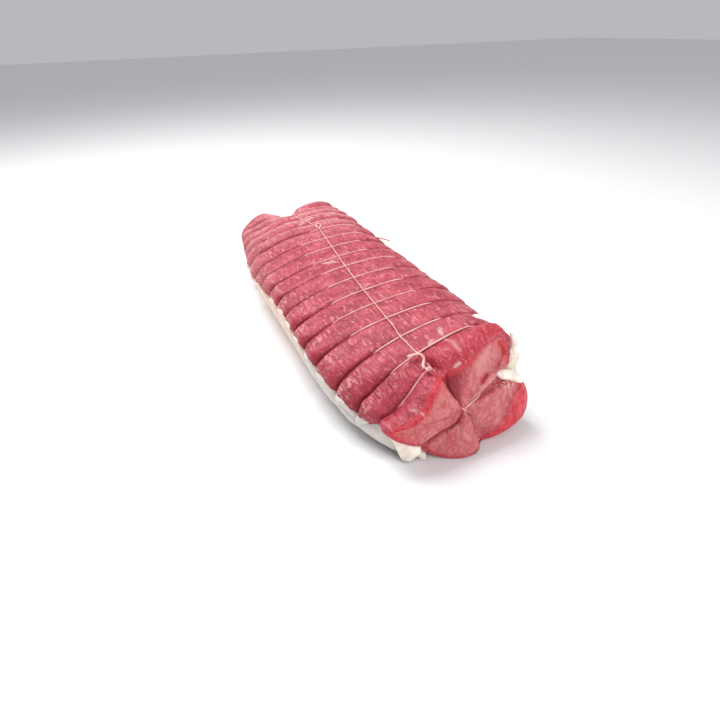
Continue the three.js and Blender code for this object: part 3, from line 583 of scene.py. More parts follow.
def fat_thickness():
    body = mix(FAT_SIDE, FAT_UNDER, smoothstep(-NORMALS[..., 2], 0.5, 0.95))
    sheet = np.minimum(body, FAT_RIM + FAT_RIM_SLOPE * FAT_INSIDE.clip(0))
    return mix(sheet, FOLD_PROUD / 2, IN_FOLD)


FAT_THICKNESS = fat_thickness()

# ---- the outer surface
LUMP_SIZE, LUMPS = 22.0, 0.8
KNOB_SIZE, KNOBS = (8.0, 11.0, 8.0), 0.7
GRAIN_SIZE, GRAIN, SHOULDER_GRAIN = (3.4, 12.0, 3.4), 0.35, 0.5      # fibres lie along the roll
FACE_ROUGHNESS, FAT_SMOOTHNESS = 0.6, 0.7
STRING_BED = 0.013                   # half the width of the top string's bed, in lanes
INWARD = -1 - V                      # share of the way in from the rim of the front face
ON_FACE = smoothstep(INWARD, 0.02, 0.1)


def outer_height():
    """Height of the joint's outside over the string level, with its grain and its string beds."""
    height = swell(V, LANE, NORMALS)
    lumps = LUMPS * fractal(LEVEL, LUMP_SIZE) + KNOBS * fractal(LEVEL + 30, KNOB_SIZE, 2)
    grain = (GRAIN + SHOULDER_GRAIN * on_shoulder(NORMALS)) * fractal(LEVEL + 60, GRAIN_SIZE)
    body = np.maximum(smoothstep(height, 0.2, 2.5), FACE_ROUGHNESS * ON_FACE)
    height = height + body * (1 - FAT_SMOOTHNESS * on_fat_side(V, LANE)) * (lumps + grain)
    for line, rise, width in (FACE_BAND, FACE_SLIT, FACE_FOLD):
        height = height + rise * stroke(LEVEL, line, width) * ON_FACE
    string_bed = bell(beside(LANE, 1), STRING_BED) * (V > 0.9) * (V < LAST_TIE + 0.5)
    return mix(height, np.minimum(height, LONG_LIFT - TWINE - 0.1), string_bed)


OUTER = outer_height()


def in_metres(points):
    return (points - (CENTRE[0], CENTRE[1], 0)) * MM


def mesh_object(name, points, faces, material, node):
    mesh = bpy.data.meshes.new(name)
    mesh.from_pydata(in_metres(np.asarray(points)).tolist(), [], faces)
    mesh.validate()
    mesh.shade_smooth()
    mesh.materials.append(material)
    piece = bpy.data.objects.new(name, mesh)
    bpy.context.collection.objects.link(piece)
    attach(piece, "root")
    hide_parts(node)
    return piece


def set_zone(piece, name, values):
    """Stores one number for each point, for the material to read."""
    attribute = piece.data.attributes.new(name, "FLOAT", "POINT")
    attribute.data.foreach_set("value", np.asarray(values, np.float32).ravel())


# ---- material helpers
class Shader:
    """A material's node tree, with short ways to make and link its nodes."""

    def __init__(self, name):
        self.material = bpy.data.materials.new(name)
        self.material.use_nodes = True
        self.tree = self.material.node_tree
        self.surface = self.tree.nodes["Principled BSDF"]
        self.place = self.node("ShaderNodeTexCoord").outputs["Object"]

    def node(self, kind, inputs=None, **settings):
        made = self.tree.nodes.new(kind)
        for key, value in settings.items():
            setattr(made, key, value)
        for key, value in (inputs or {}).items():
            self.feed(made.inputs[key], value)
        return made

    def feed(self, target, value):
        """Links a socket to the target, or gives the target a plain value."""
        if isinstance(value, bpy.types.NodeSocket):
            self.tree.links.new(value, target)
        else:
            target.default_value = value

    def noise(self, size_mm, detail=3.0, roughness=0.55, stretch=(1, 1, 1), distortion=0.0):
        mapping = self.node("ShaderNodeMapping", {
            "Vector": self.place, "Scale": [1 / (size_mm * MM * s) for s in stretch]})
        return self.node("ShaderNodeTexNoise", {
            "Vector": mapping.outputs["Vector"], "Scale": 1.0, "Detail": detail,
            "Roughness": roughness, "Distortion": distortion}).outputs["Fac"]

    def ramp(self, value, low, high, out_low=0.0, out_high=1.0):
        return self.node("ShaderNodeMapRange", {
            "Value": value, "From Min": low, "From Max": high, "To Min": out_low, "To Max": out_high,
        }, interpolation_type="SMOOTHSTEP").outputs["Result"]

    def maths(self, operation, a, b):
        return self.node("ShaderNodeMath", {0: a, 1: b}, operation=operation).outputs[0]

    def times(self, a, b):
        return self.maths("MULTIPLY", a, b)

    def plus(self, a, b):
        return self.maths("ADD", a, b)

    def blend(self, share, a, b):
        made = self.node("ShaderNodeMix", {"Factor": share}, data_type="RGBA")
        inputs = [s for s in made.inputs if s.type == "RGBA"]
        for socket, colour in zip(inputs, (a, b)):
            self.feed(socket, colour if isinstance(colour, bpy.types.NodeSocket) else (*colour, 1))
        return [s for s in made.outputs if s.type == "RGBA"][0]

    def tint(self, base, share, *screen_colour):
        return self.blend(share, base, srgb(*screen_colour))

    def zone(self, name, share=None):
        value = self.node("ShaderNodeAttribute", attribute_name=name).outputs["Fac"]
        return value if share is None else self.times(value, share)

    def bump(self, height, distance_mm, strength):
        made = self.node("ShaderNodeBump", {
            "Strength": strength, "Distance": distance_mm * MM, "Height": height})
        self.feed(self.surface.inputs["Normal"], made.outputs["Normal"])

    def finish(self, colour, roughness, **fixed):
        self.feed(self.surface.inputs["Base Color"], colour)
        self.feed(self.surface.inputs["Roughness"], roughness)
        for key, value in fixed.items():
            self.surface.inputs[key.replace("_", " ")].default_value = value
        return self.material


def srgb(red, green, blue):
    """A linear colour from the 0 to 255 numbers of a screen colour."""
    share = np.array((red, green, blue)) / 255
    linear = np.where(share <= 0.04045, share / 12.92, ((share + 0.055) / 1.055) ** 2.4)
    return tuple(float(c) for c in linear)


# ---- materials
def meat_material():
    m = Shader("raw_beef")
    fibres = m.noise(2.3, detail=4, roughness=0.7, stretch=(1, 4.2, 1), distortion=0.3)
    dashes = m.noise(1.9, detail=1, roughness=0.5, stretch=(1, 4.2, 1), distortion=0.1)
    strands = m.noise(2.4, detail=3, roughness=0.6, stretch=(1, 1, 3.2), distortion=0.3)
    speckle = m.noise(2.1, detail=4, roughness=0.75, stretch=(1, 1.6, 1))
    patches = m.noise(16, detail=3, stretch=(1.4, 0.8, 1.4))
    flecks = m.noise(4.4, detail=4, roughness=0.75, stretch=(1, 1.4, 1), distortion=0.6)
    base = m.blend(m.ramp(patches, 0.36, 0.64), srgb(158, 40, 56), srgb(186, 66, 82))
    base = m.tint(base, m.ramp(speckle, 0.51, 0.64, 0, 0.4), 222, 122, 134)
    base = m.tint(base, m.ramp(flecks, 0.52, 0.64, 0, 0.8), 134, 22, 40)
    base = m.tint(base, m.ramp(fibres, 0.52, 0.66, 0, 0.7), 230, 140, 147)
    # Painted shade: darker crimson on the near flank of each shoulder ridge and over the near end of the
    # top.
    base = m.tint(base, m.zone("deep", 0.65), 164, 24, 50)
    # Painted glints: pale dashes on the far half of each shoulder ridge, which also raise the bump.
    painted_glint_dashes = m.times(m.ramp(dashes, 0.52, 0.64), m.zone("wet"))
    base = m.tint(base, m.times(painted_glint_dashes, 0.65), 242, 172, 168)
    marbling = m.noise(9, detail=5, roughness=0.65, distortion=1.2)
    face = m.blend(m.ramp(marbling, 0.35, 0.65), srgb(192, 84, 90), srgb(214, 124, 122))
    face = m.tint(face, m.ramp(speckle, 0.52, 0.68, 0, 0.45), 230, 164, 156)
    face = m.tint(face, m.ramp(strands, 0.52, 0.66, 0, 0.5), 168, 62, 74)
    face = m.tint(face, m.zone("specks", 0.6), 176, 52, 66)
    specks = m.times(m.ramp(speckle, 0.5, 0.57), m.zone("specks"))
    face = m.tint(face, specks, 232, 176, 170)
    base = m.blend(m.zone("face"), base, face)
    # Painted sheen where the surface catches the light.
    base = m.tint(base, m.zone("veil"), 226, 156, 158)
    red = m.blend(m.ramp(flecks, 0.42, 0.62), srgb(190, 18, 36), srgb(222, 64, 76))
    base = m.blend(m.zone("red"), base, red)
    # Painted shade in valleys, hollows, face creases, slit and fold, with the right lobe's darker rings.
    base = m.tint(base, m.zone("groove"), 134, 14, 38)
    base = m.tint(base, m.zone("skin"), 240, 206, 200)
    height = m.plus(m.times(fibres, 0.5), m.times(speckle, 0.4))
    height = m.plus(height, m.times(flecks, -0.4))
    height = m.plus(height, m.times(painted_glint_dashes, 0.5))
    m.bump(height, 1.6, 1)
    roughness = m.plus(m.ramp(speckle, 0.4, 0.6, 0.28, 0.5), m.zone("groove", 0.4))
    return m.finish(base, roughness, Specular_IOR_Level=0.4, Subsurface_Weight=0.08,
                    Subsurface_Radius=(0.004, 0.0012, 0.001), Subsurface_Scale=0.35)


def fat_material():
    m = Shader("raw_fat")
    lumps = m.noise(9, detail=4)
    fine = m.noise(1.4, detail=3)
    stains = m.noise(18, detail=3)
    base = m.blend(m.ramp(lumps, 0.35, 0.65), srgb(230, 212, 196), srgb(247, 240, 228))
    base = m.tint(base, m.ramp(stains, 0.56, 0.7, 0, 0.35), 228, 180, 166)
    base = m.tint(base, m.zone("rosy", 0.6), 236, 186, 166)
    # Painted shade: greyer on the near left of the hanging sheet and leaf.
    base = m.tint(base, m.zone("dull", 0.7), 206, 200, 194)
    height = m.plus(m.times(lumps, 0.8), m.times(fine, 0.2))
    m.bump(height, 0.7, 0.6)
    return m.finish(base, m.ramp(lumps, 0.3, 0.7, 0.4, 0.55), Subsurface_Weight=0.25,
                    Subsurface_Radius=(0.006, 0.004, 0.003), Subsurface_Scale=0.6, Coat_Weight=0.1,
                    Coat_Roughness=0.3)


def twine_material():
    m = Shader("damp_twine")
    fuzz = m.noise(0.5, detail=4, roughness=0.7)
    stains = m.noise(7, detail=3)
    base = m.blend(m.ramp(stains, 0.35, 0.65), srgb(234, 192, 184), srgb(222, 156, 154))
    base = m.tint(base, m.ramp(fuzz, 0.5, 0.8, 0, 0.4), 248, 232, 224)
    m.bump(fuzz, 0.25, 0.7)
    return m.finish(base, 0.75)


MEAT = meat_material()
FAT = fat_material()
STRING = twine_material()


# ---- mesh helpers
def bezier_through(points, samples=12):
    """An open smooth line through the points."""
    points = [np.asarray(p, float) for p in points]
    ends = [2 * points[0] - points[1], *points, 2 * points[-1] - points[-2]]
    line = []
    for a, b, c, d in zip(ends, ends[1:], ends[2:], ends[3:]):
        for t in np.linspace(0, 1, samples, endpoint=False):
            line.append(0.5 * (2 * b + (c - a) * t + (2 * a - 5 * b + 4 * c - d) * t ** 2
                               + (3 * b - a - 3 * c + d) * t ** 3))
    return np.array([*line, points[-1]])


def ring_faces(rings, around, closed=False):
    """Faces between neighbouring rings of points, and from the last to the first if closed."""
    for i, j in itertools.product(range(rings if closed else rings - 1), range(around)):
        after, beside_it = (i + 1) % rings * around, (j + 1) % around
        yield i * around + j, i * around + beside_it, after + beside_it, after + j


def closed_grid(rings, poles=None):
    """Points and faces of a solid from rings of points, its ends closed by a point each."""
    count, around = rings.shape[:2]
    if poles is None:
        poles = rings[0].mean(axis=0), rings[-1].mean(axis=0)
    points = np.concatenate([rings.reshape(-1, 3), poles])
    faces = list(ring_faces(count, around))
    first_pole, last_ring = count * around, (count - 1) * around
    for j in range(around):
        k = (j + 1) % around
        faces.append((first_pole, k, j))
        faces.append((first_pole + 1, last_ring + j, last_ring + k))
    return points, faces


def compact(points, faces):
    """Leaves out the points that no face uses."""
    used, numbers = np.unique([n for face in faces for n in face], return_inverse=True)
    sizes = np.cumsum([len(face) for face in faces])[:-1]
    return points[used], [tuple(map(int, face)) for face in np.split(numbers, sizes)]


def joined(parts):
    points, faces, start = [], [], 0
    for some, their_faces in parts:
        points.append(some)
        faces += [tuple(n + start for n in face) for face in their_faces]
        start += len(some)
    return np.concatenate(points), faces


# ---- the meat
# Silvery skin on top of the roll: (x, y) along each patch, half its width, and its strength.
SKINS = (
    (((20.5, 55.5), (18.6, 50), (17.4, 46)), 1.2, 0.6),
    (((16.6, 45), (18.2, 38), (19, 32), (19.2, 25)), 0.9, 0.4),
    (((11, 47), (8, 46.5), (5.3, 44)), 0.9, 0.6),
    (((11.5, 21.3), (16, 20.4)), 1.0, 0.6),
    (((-10, 215), (-4, 211.5), (3, 208)), 1.6, 0.6),
    (((-25, 15), (-22, 9), (-20, 4)), 0.45, 0.45),
    (((4, 322), (12, 330), (24, 335)), 2.5, 0.4),
)
RED_PATCHES = ((48, 68), (52, 63.5), (53.4, 56), (52.6, 50)), ((30, 69), (38, 72), (47, 72))
PALE_PATCH = (28, 52), (34, 60), (40, 66)
SPECKLED = (41, 41), (47, 40), (56, 34)
CREASE_SHADES = (0.35, 0.75, 0.6, 0.75)
FAR_LOOKS, SHOULDER_FADE = (7, 12), (5, 11)     # rows over which the looks change
BETWEEN = V % 1                      # share of the way from one tie to the next
ON_ROLL = (V > 0) & (V < LAST_TIE)


def grid_points(height, floor):
    points = place(V, LANE, height)
    points[..., 2] = np.maximum(points[..., 2], floor)
    return points


def line_zone(lines, width):
    """The strongest share of several lines drawn on the front face."""
    return np.max([stroke(LEVEL, line, width) for line in lines], axis=0)


def red_zone(lip):
    """Bright red rims of the cut faces, a patch on the upper lobe, and the lip."""
    left_rim = bell(INWARD, 0.09) * smoothstep(LANE, 1.6, 1.8) * smoothstep(3 - LANE, 0.1, 0.5)
    upper_rim = bell(INWARD - 0.1, 0.15) * smoothstep(LANE, 0.5, 0.7) * (LANE < 1)
    upper_top = plateau(V, -1.1, -0.8, 0.6, 1.2) * is_free(LANE)
    top_rim = bell(INWARD + 0.02, 0.16) * plateau(LANE, 1, 1.1, 1.7, 1.95)
    patches = np.maximum(line_zone(RED_PATCHES, 3.4), 0.7 * line_zone([FACE_SLIT[0]], 1.6)) * ON_FACE
    return np.maximum.reduce([0.25 * left_rim, 0.8 * upper_rim, 0.3 * upper_top, 0.8 * top_rim,
                              patches, 0.95 * lip])


def roll_painted_shade():
    """Painted shade where ties are sunk, in the valleys between the ridges and in the hollows, and a
    painted shadow on the near side of each tie.
    """
    tie = np.clip(np.round(V), 0, LAST_TIE).astype(int)
    first, last = np.moveaxis(np.array(TIE_SHOWS)[tie], -1, 0)
    sunk = smoothstep(LANE, last - 0.1, last + 0.1) + 1 - smoothstep(LANE, first - 0.1, first)
    # Painted shadow on the near side of each tie.
    painted_near_shadow = bell(BETWEEN - 0.945, 0.05) * ON_ROLL
    width = mix(mix(0.06, 0.035, smoothstep(V, 2, 6)), 0.085, smoothstep(V, *FAR_LOOKS))
    valley = bell(np.minimum(BETWEEN, 1 - BETWEEN), width) * (V > -0.5) * (V < LAST_TIE) * sunk
    valley = valley * (1 - is_free(LANE) * (V < 0.5)) * (LANE < 2)
    hollow = 1 - smoothstep(OUTER, -0.6, 1.1)
    return np.maximum.reduce([0.5 * hollow, 0.8 * painted_near_shadow, 0.75 * valley]) * smoothstep(V, -0.8, -0.4)


def face_painted_shade_and_rings(lip):
    """Painted shade in the creases, slit and fold of the front face, on its shaded side and along the lip's
    inner edge, and its darker rings.
    """
    crease = np.max([share * bell(beside(LANE, k), 0.03) for k, share in enumerate(CREASE_SHADES)], axis=0)
    dark_side = smoothstep(LANE, 0.6, 0.98) * (LANE < 1) * smoothstep(INWARD, 0.02, 0.2)
    rings = (0.5 + 0.5 * np.sin(56 * INWARD + 2.5 * perlin(LEVEL / 9))) ** 2
    rings = rings * (LANE > 3.08) * (LANE < 3.8) * (1 - lip)
    edge = lip_edge(LANE)
    lip_shadow = bell(INWARD - 0.98 * edge, 0.03) * (edge > 0.05)
    return ON_FACE * np.maximum.reduce([
        crease, 0.75 * dark_side, 0.45 * line_zone([FACE_SLIT[0]], 1.1),
        0.35 * line_zone([FACE_FOLD[0]], 1.0), 0.4 * lip_shadow, 0.18 * rings])


def painted_sheen_zone(shoulder):
    """Painted sheen, pale where the surface catches the light: the top of the far end and the crests, bands
    of the face, the shoulder.
    """
    far_sheen = plateau(V, 13.2, 14.6, 15.8, 16.2) * (1 - smoothstep(np.abs(LANE - 1.12), 0.08, 0.28))
    streaks = (0.65 + 1.3 * perlin(LEVEL / (4, 14, 4))).clip(0, 1)
    crest = smoothstep(V, 9, 12.5) * bell(BETWEEN - 0.55, 0.26) * (V < LAST_TIE)
    cap = plateau(V, LAST_TIE, LAST_TIE + 0.4, LAST_TIE + 0.8, LAST_TIE + 1.1)
    crest = (crest + 0.6 * cap * smoothstep(pillow(LANE, 2), 0.2, 0.6)) * (LANE < 2)
    return np.maximum.reduce([
        0.75 * far_sheen, 0.75 * crest * streaks, 0.45 * line_zone([FACE_BAND[0]], 1.8) * ON_FACE,
        0.6 * line_zone([PALE_PATCH], 5) * ON_FACE, 0.25 * shoulder * smoothstep(V, *SHOULDER_FADE)])


def meat_zones():
    """The zones of the meat, each with its values at the middles of the front and the far face."""
    shoulder = on_shoulder(NORMALS) * ON_ROLL
    lip = lip_share(V, LANE) * (1 - smoothstep(V, -0.8, -0.2))
    # Painted shade on the near flank of each shoulder ridge, fading along the roll, and at half strength
    # near the front of the top.
    deep = shoulder * (1 - smoothstep(BETWEEN, 0.12, 0.5)) * (1 - smoothstep(V, *SHOULDER_FADE))
    front = smoothstep(LANE, 1.02, 1.15) * (LANE < 1.9) * plateau(V, -0.8, -0.2, 1, 2.2)
    skins = [share * stroke(LEVEL, line, width, (0, 1)) for line, width, share in SKINS]
    return {
        "face": (0.95 * ON_FACE, 0.95, 0.5),
        # Painted glints on the far half of each shoulder ridge.
        "wet": (shoulder * smoothstep(BETWEEN, 0.25, 0.6), 0, 0),
        "deep": (np.maximum(deep, 0.5 * front), 0, 0),
        "red": (red_zone(lip), 0, 0),
        "veil": (painted_sheen_zone(shoulder), 0, 0),
        "skin": (np.max(skins, axis=0) * (LEVEL[..., 2] > 30), 0, 0),
        "specks": (line_zone([SPECKLED], 4.2) * (LANE > 2) * ON_FACE, 0, 0),
        # Painted shade in valleys, hollows and face creases, with the right lobe's darker rings.
        "groove": ((roll_painted_shade() + face_painted_shade_and_rings(lip)).clip(0, 1), 0.6, 0.6),
    }


def make_meat():
    buried = smoothstep(FAT_INSIDE, -0.8, 0.8) * (FAT_THICKNESS + CLEARANCE)
    points, faces = closed_grid(grid_points(OUTER - buried, MEAT_FLOOR), (FRONT_CENTRE, FAR_CENTRE))
    outwards = [(first, *others[::-1]) for first, *others in faces]
    meat = mesh_object("beef", points, outwards, MEAT, "meat")
    for name, (values, *at_poles) in meat_zones().items():
        set_zone(meat, name, np.append(values.ravel(), at_poles))


# ---- the sheet of fat
def sheet_faces(covers):
    """Faces of a sheet over the grid cells in `covers`: outside, inside and the wall round its edge."""
    size = len(ROWS) * COLUMNS
    faces = []
    cells = set(map(tuple, np.argwhere(covers)))
    for i, j in cells:
        k = (j + 1) % COLUMNS
        a, b, c, d = i * COLUMNS + j, (i + 1) * COLUMNS + j, (i + 1) * COLUMNS + k, i * COLUMNS + k
        faces.append((a, b, c, d))
        faces.append((a + size, d + size, c + size, b + size))
        sides = ((i - 1, j), a, d), ((i + 1, j), c, b), ((i, (j - 1) % COLUMNS), b, a), ((i, k), d, c)
        faces += [(p, q, q + size, p + size) for beyond, p, q in sides if beyond not in cells]
    return faces


def leaf(net):
    """A thin wavy solid over a net of points, with rounded edges."""
    rows = [bezier_through(map(vector, row), 8) for row in net]
    sheet = np.array([bezier_through(column, 6) for column in zip(*rows)])
    across, along = np.gradient(sheet, axis=0), np.gradient(sheet, axis=1)
    normal = unit(np.cross(across, along))
    sheet = sheet + 0.3 * fractal(sheet, 12)[..., None] * normal
    edge = [np.minimum(np.arange(n), np.arange(n)[::-1]) / 3 for n in sheet.shape[:2]]
    half = LEAF_THICKNESS / 2 * (0.25 + 0.75 * smoothstep(np.minimum(edge[0][:, None], edge[1]), 0, 1))
    front, back = sheet + half[..., None] * normal, sheet - half[..., None] * normal
    return closed_grid(np.concatenate([front, back[:, ::-1]], axis=1))


def roll(line, sides=14):
    """A rounded fold along a line of (x, z, y, radius)."""
    centres = bezier_through([vector(p[:3]) for p in line], 8)
    radius = np.interp(np.linspace(0, len(line) - 1, len(centres)), range(len(line)), [p[3] for p in line])
    share = np.linspace(0, 1, len(centres))
    radius = radius * np.sqrt(np.minimum(1, 6 * np.minimum(share, 1 - share) + 0.05))
    heading = unit(np.gradient(centres, axis=0))
    side = unit(np.cross(heading, (0, 1, 0)))
    up = np.cross(side, heading)
    angle = np.linspace(0, 2 * math.pi, sides, endpoint=False)[:, None]
    rings = np.array([c + r * (np.cos(angle) * s + np.sin(angle) * u)
                      for c, r, s, u in zip(centres, radius, side, up)])
    return closed_grid(rings + 0.35 * fractal(rings, 6)[..., None] * unit(rings - centres[:, None]))


def make_fat():
    in_sheet = FAT_INSIDE >= -FAT_TUCK
    tucked = FAT_TUCK * (1 - smoothstep(FAT_INSIDE, -FAT_TUCK, -0.2))
    outer = grid_points(OUTER + FOLD_PROUD * IN_FOLD - tucked, 0)
    inner = grid_points(OUTER - np.maximum(FAT_THICKNESS, tucked + FAT_THINNEST), 0)
    covers = in_sheet & np.roll(in_sheet, -1, axis=1)
    covers[:-1] &= covers[1:]
    covers[-1] = False
    sheet = compact(np.concatenate([outer.reshape(-1, 3), inner.reshape(-1, 3)]), sheet_faces(covers))
    hanging = [sheet, leaf(SIDE_LEAF)]
    folds = [leaf(LEAF), leaf(BACK_LEAF), roll(RIGHT_FOLD), roll(CLEFT_FOLD)]
    points, faces = joined(hanging + folds)
    fat = mesh_object("fat_sheet", points, faces, FAT, "bard_fat")
    hangs = np.arange(len(points)) < sum(len(some) for some, _ in hanging)
    set_zone(fat, "rosy", hangs * smoothstep(points[:, 1], 60, 160))
    # Painted shade on the near left of the hanging sheet and leaf.
    near = 1 - smoothstep(points[:, 1], 80, 200)
    set_zone(fat, "dull", hangs * near * smoothstep(-points[:, 0], 0, 20))


# ---- the twine
TUBE_SIDES = 8
TUBE_STEP = 0.9
PLY_TURN = 2 * math.pi / 5.0         # radians of twist for each millimetre
# The knotted end by tie 1: along the tie, round in a hook and down to the short tie: (x, z, y).
CURL = ((-12.4, 61.6, 42), (-9.2, 62.2, 41.6), (-5.6, 62.8, 40.6), (-3.8, 62.8, 38.3), (-3.9, 62.3, 35.2),
        (-5.4, 61.6, 32.4), (-7.4, 60.6, 30), (-7.6, 59.8, 27.6))
SHORT_KNOT = (-5.4, 59.4, 26.2)
CURL_RADIUS = 1.0
FAR_CURL = ((21.4, 67.4, 303), (21.8, 67.8, 307.5), (19.6, 68, 309.5), (17.4, 67.6, 306), (16.6, 66.8, 301))
TAILED_TIE = 9
LOOSE_TAIL = ((67, 62, 255.5), (72.6, 60.4, 252), (77.4, 59.6, 246))
FAR_KNOT_TIE = 11
PLY_BODY, PLY_RELIEF = 0.93, 0.13    # shares of the radius
KNOT_TURNS, KNOT_LENGTH, KNOT_RADIUS = 2.6, 3.6, 1.05


def smooth_path(points, closed=False, passes=2):
    points = np.array(points, float)
    for _ in range(passes):
        near = np.roll(points, 1, axis=0), np.roll(points, -1, axis=0)
        eased = (near[0] + 2 * points + near[1]) / 4
        if not closed:
            eased[0], eased[-1] = points[0], points[-1]
        points = eased
    return points


def even_path(points, closed, step=TUBE_STEP):
    points = np.asarray(points, float)
    if closed:
        points = np.concatenate([points, points[:1]])
    length = np.linalg.norm(np.diff(points, axis=0), axis=1).sum()
    count = max(int(length / step), 4)
    return along_arc(points, np.linspace(0, 1, count + 1))[:count if closed else count + 1]


def tube(points, closed=False, radius=TWINE):
    """Points and faces of twisted two-ply twine along a line of points."""
    path = even_path(points, closed)
    count = len(path)
    if closed:
        heading = unit(np.roll(path, -1, axis=0) - np.roll(path, 1, axis=0))
    else:
        heading = unit(np.gradient(path, axis=0))
    side = np.zeros_like(path)
    start = np.array((0.0, 0.0, 1.0)) if abs(heading[0][2]) < 0.9 else np.array((1.0, 0.0, 0.0))
    side[0] = unit(np.cross(heading[0], start))
    for i in range(1, count):
        side[i] = unit(side[i - 1] - heading[i] * (side[i - 1] @ heading[i]))
    up = np.cross(side, heading)
    angle = np.linspace(0, 2 * math.pi, TUBE_SIDES, endpoint=False)
    turn = np.arange(count)[:, None] * TUBE_STEP * PLY_TURN
    size = radius * (PLY_BODY + PLY_RELIEF * np.cos(2 * (angle - turn)))
    outwards = np.cos(angle)[:, None] * side[:, None] + np.sin(angle)[:, None] * up[:, None]
    rings = path[:, None] + size[..., None] * outwards
    faces = list(ring_faces(count, TUBE_SIDES, closed))
    if not closed:
        faces.append(tuple(range(TUBE_SIDES))[::-1])
        faces.append(tuple((count - 1) * TUBE_SIDES + a for a in range(TUBE_SIDES)))
    return rings.reshape(-1, 3), faces


def make_twine(name, parts, node):
    points, faces = joined(parts)
    mesh_object(name, points, faces, STRING, node)


def tie_lift(tie, lane):
    """The ties sink into the meat on both shoulders, and lie proud on top and underneath."""
    first, last = TIE_SHOWS[tie]
    top = TIE_LIFT * np.interp(tie, (10, 12), (1, 0.5))
    return np.interp(lane, (0, first - 0.14, first, last, last + 0.12, 1.74, 2.05, 2.3, 4),
                     (0.5, -0.9, top, top, -2.4, -2.4, -0.8, 0.8, 0.8))


def make_ties():
    lanes = np.arange(0, 4, 0.02)
    for tie in range(1, LAST_TIE + 1):
        loop = place(tie, lanes, tie_lift(tie, lanes))
        parts = [tube(smooth_path(loop, closed=True, passes=1), closed=True)]
        if tie == TAILED_TIE:
            parts.append(tube(bezier_through(map(vector, LOOSE_TAIL)), radius=1.2 * TWINE))
        make_twine(f"twine_{tie:02d}", parts, f"tie_{tie:02d}")


def knot(centre, along, up):
    """Turns of twine wound round a tie."""
    along, up = unit(np.asarray(along)), unit(np.asarray(up))
    side = np.cross(along, up)
    t = np.linspace(0, 1, 60)
    turn = t * 2 * math.pi * KNOT_TURNS
    radius = KNOT_RADIUS + 0.2 * np.sin(turn * 0.7)
    return tube(centre + np.outer((t - 0.5) * KNOT_LENGTH, along)
                + (radius * np.cos(turn))[:, None] * up + (radius * np.sin(turn))[:, None] * side)


def face_lift(v, hidden):
    """Strings on the front face sink into the creases until the given share of the way in."""
    return mix(SUNK_LIFT, FACE_LIFT / 2, smoothstep(-1 - v, hidden - 0.1, hidden))


def make_long_strings():
    far_face = place(np.arange(16.9, 16.05, -0.1), 1, FACE_LIFT)
    top = place(np.arange(15.9, 0.95, -0.1), 1, LONG_LIFT)
    front = place(np.arange(-0.75, -1.95, -0.06), 1, SUNK_LIFT)
    rows = np.arange(-1.9, -1.05, 0.06)
    lower = place(rows, 3, face_lift(rows, 0.9))
    under = place(np.arange(-0.98, 16, 0.08), 3, UNDER_LIFT)
    lower_far = place(np.arange(16.1, 16.95, 0.08), 3, FACE_LIFT)
    curl = bezier_through(map(vector, CURL))
    pocket = bezier_through([top[-1], place(0.6, 1, 0), front[0]])
    front_pole = FRONT_CENTRE - (0, FACE_LIFT + POLE_LIFT, 0)
    far_pole = FAR_CENTRE + (0, FACE_LIFT + POLE_LIFT, 0)
    loop = np.array([far_pole, *far_face, *top, *pocket[1:-1], *front, front_pole, *lower, *under,
                     *lower_far])
    far_knot_at = place(FAR_KNOT_TIE, 1, LONG_LIFT)
    across = place(FAR_KNOT_TIE, 1.1, LONG_LIFT) - far_knot_at
    parts = [
        tube(smooth_path(even_path(loop, True), closed=True, passes=2), True, LONG_TWINE),
        tube(bezier_through([far_knot_at, *map(vector, FAR_CURL)])),
        knot(far_knot_at, across, (0, 0, 1)),
        tube(curl, radius=CURL_RADIUS),
        knot(vector(SHORT_KNOT), (1, -0.25, 0.1), (0, 0, 1)),
    ]
    make_twine("twine_long", parts, "long_string")


def make_side_strings():
    for name, rows, centre, out in (
            ("side_string_front", np.arange(-1.12, -1.95, -0.06), FRONT_CENTRE, -1),
            ("side_string_far", np.arange(16.1, 16.95, 0.08), FAR_CENTRE, 1)):
        right = place(rows, 0, face_lift(rows, 0.62) if out < 0 else FACE_LIFT)
        left = place(rows, 2, SUNK_LIFT if out < 0 else FACE_LIFT)[::-1]
        pole = centre + (0, out * SIDE_POLE_LIFT, 0)
        make_twine("twine_" + name, [tube(smooth_path([*right, pole, *left]))], name)


def make_short_tie():
    lanes = np.arange(1.03, 3.88, 0.02)
    path = place(0, lanes, 0.7 * tie_lift(0, lanes))
    path = np.concatenate([[vector(SHORT_KNOT)], path])
    make_twine("twine_00", [tube(smooth_path(path))], "tie_00")


# ---- camera, light and floor
CAMERA_AT = (-152.1, -204.5, 250.0)  # drawing frame
HEADING, PITCH, ROLL = 23.0, 34.0, -1.7
LENS, SENSOR_WIDTH = 25.0, 36.0
FLOOR_HALF_WIDTH = 6.0               # metres, as are the lamps' places and sizes
LAMPS_TOWARDS = (0, 0, 0.04)
LAMPS = (("key_light", (-0.25, 0.5, 1.2), (0.8, 0.6), 18.5),
         ("front_light", (0.45, -1.1, 0.6), (1.0, 0.8), 8))


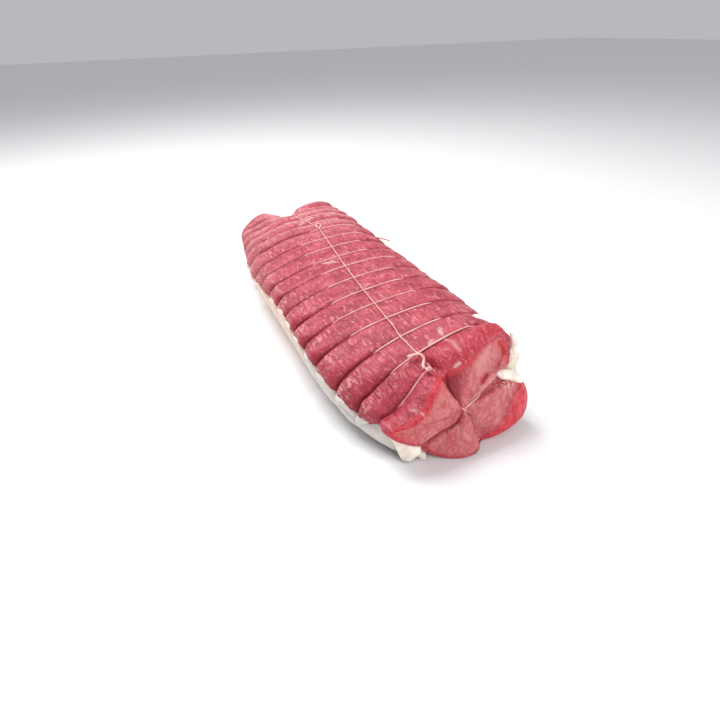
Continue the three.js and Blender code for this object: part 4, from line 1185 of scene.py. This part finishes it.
def put(name, data, axes, at):
    """Adds an object with the given axes, at a place in metres."""
    matrix = np.eye(4)
    matrix[:3, :3] = np.stack(axes, axis=1)
    matrix[:3, 3] = at
    made = bpy.data.objects.new(name, data)
    made.matrix_world = Matrix(matrix.tolist())
    bpy.context.collection.objects.link(made)
    return made


def make_camera():
    heading, pitch, roll = (math.radians(a) for a in (HEADING, PITCH, ROLL))
    flat = np.array((math.sin(heading), math.cos(heading), 0))
    right = np.array((math.cos(heading), -math.sin(heading), 0))
    forward = math.cos(pitch) * flat - np.array((0, 0, math.sin(pitch)))
    up = np.cross(right, forward)
    tilted_right = math.cos(roll) * right + math.sin(roll) * up
    tilted_up = math.cos(roll) * up - math.sin(roll) * right
    data = bpy.data.cameras.new("camera")
    data.lens = LENS
    data.sensor_width = SENSOR_WIDTH
    data.clip_start = 0.01
    axes = tilted_right, tilted_up, -forward
    bpy.context.scene.camera = put("camera", data, axes, in_metres(np.array(CAMERA_AT)))


def area_light(name, at, size, power):
    data = bpy.data.lights.new(name, "AREA")
    data.shape = "RECTANGLE"
    data.size, data.size_y = size
    data.energy = power
    back = unit(np.array(at, float) - np.array(LAMPS_TOWARDS, float))
    steep = abs(back[2]) > 0.9
    side = unit(np.cross((0, 1, 0) if steep else (0, 0, 1), back))
    put(name, data, (side, np.cross(back, side), back), at)


def make_stage():
    half = FLOOR_HALF_WIDTH
    mesh = bpy.data.meshes.new("floor")
    mesh.from_pydata([(-half, -half, 0), (half, -half, 0), (half, half, 0), (-half, half, 0)], [],
                     [(0, 1, 2, 3)])
    floor = put("floor", mesh, np.eye(3), (0, 0, 0))
    m = Shader("pale_floor")
    grain = m.noise(30, detail=3)
    mesh.materials.append(m.finish(m.blend(grain, (0.82, 0.82, 0.83), (0.86, 0.86, 0.86)), 0.8))
    world = bpy.data.worlds.new("studio")
    world.use_nodes = True
    background = world.node_tree.nodes["Background"].inputs
    background["Color"].default_value = (0.95, 0.97, 1.0, 1)
    background["Strength"].default_value = 0.5
    bpy.context.scene.world = world
    for lamp in LAMPS:
        area_light(*lamp)
    bpy.context.scene.view_settings.view_transform = "Standard"


make_camera()
make_stage()
make_meat()
make_fat()
make_ties()
make_short_tie()
make_long_strings()
make_side_strings()
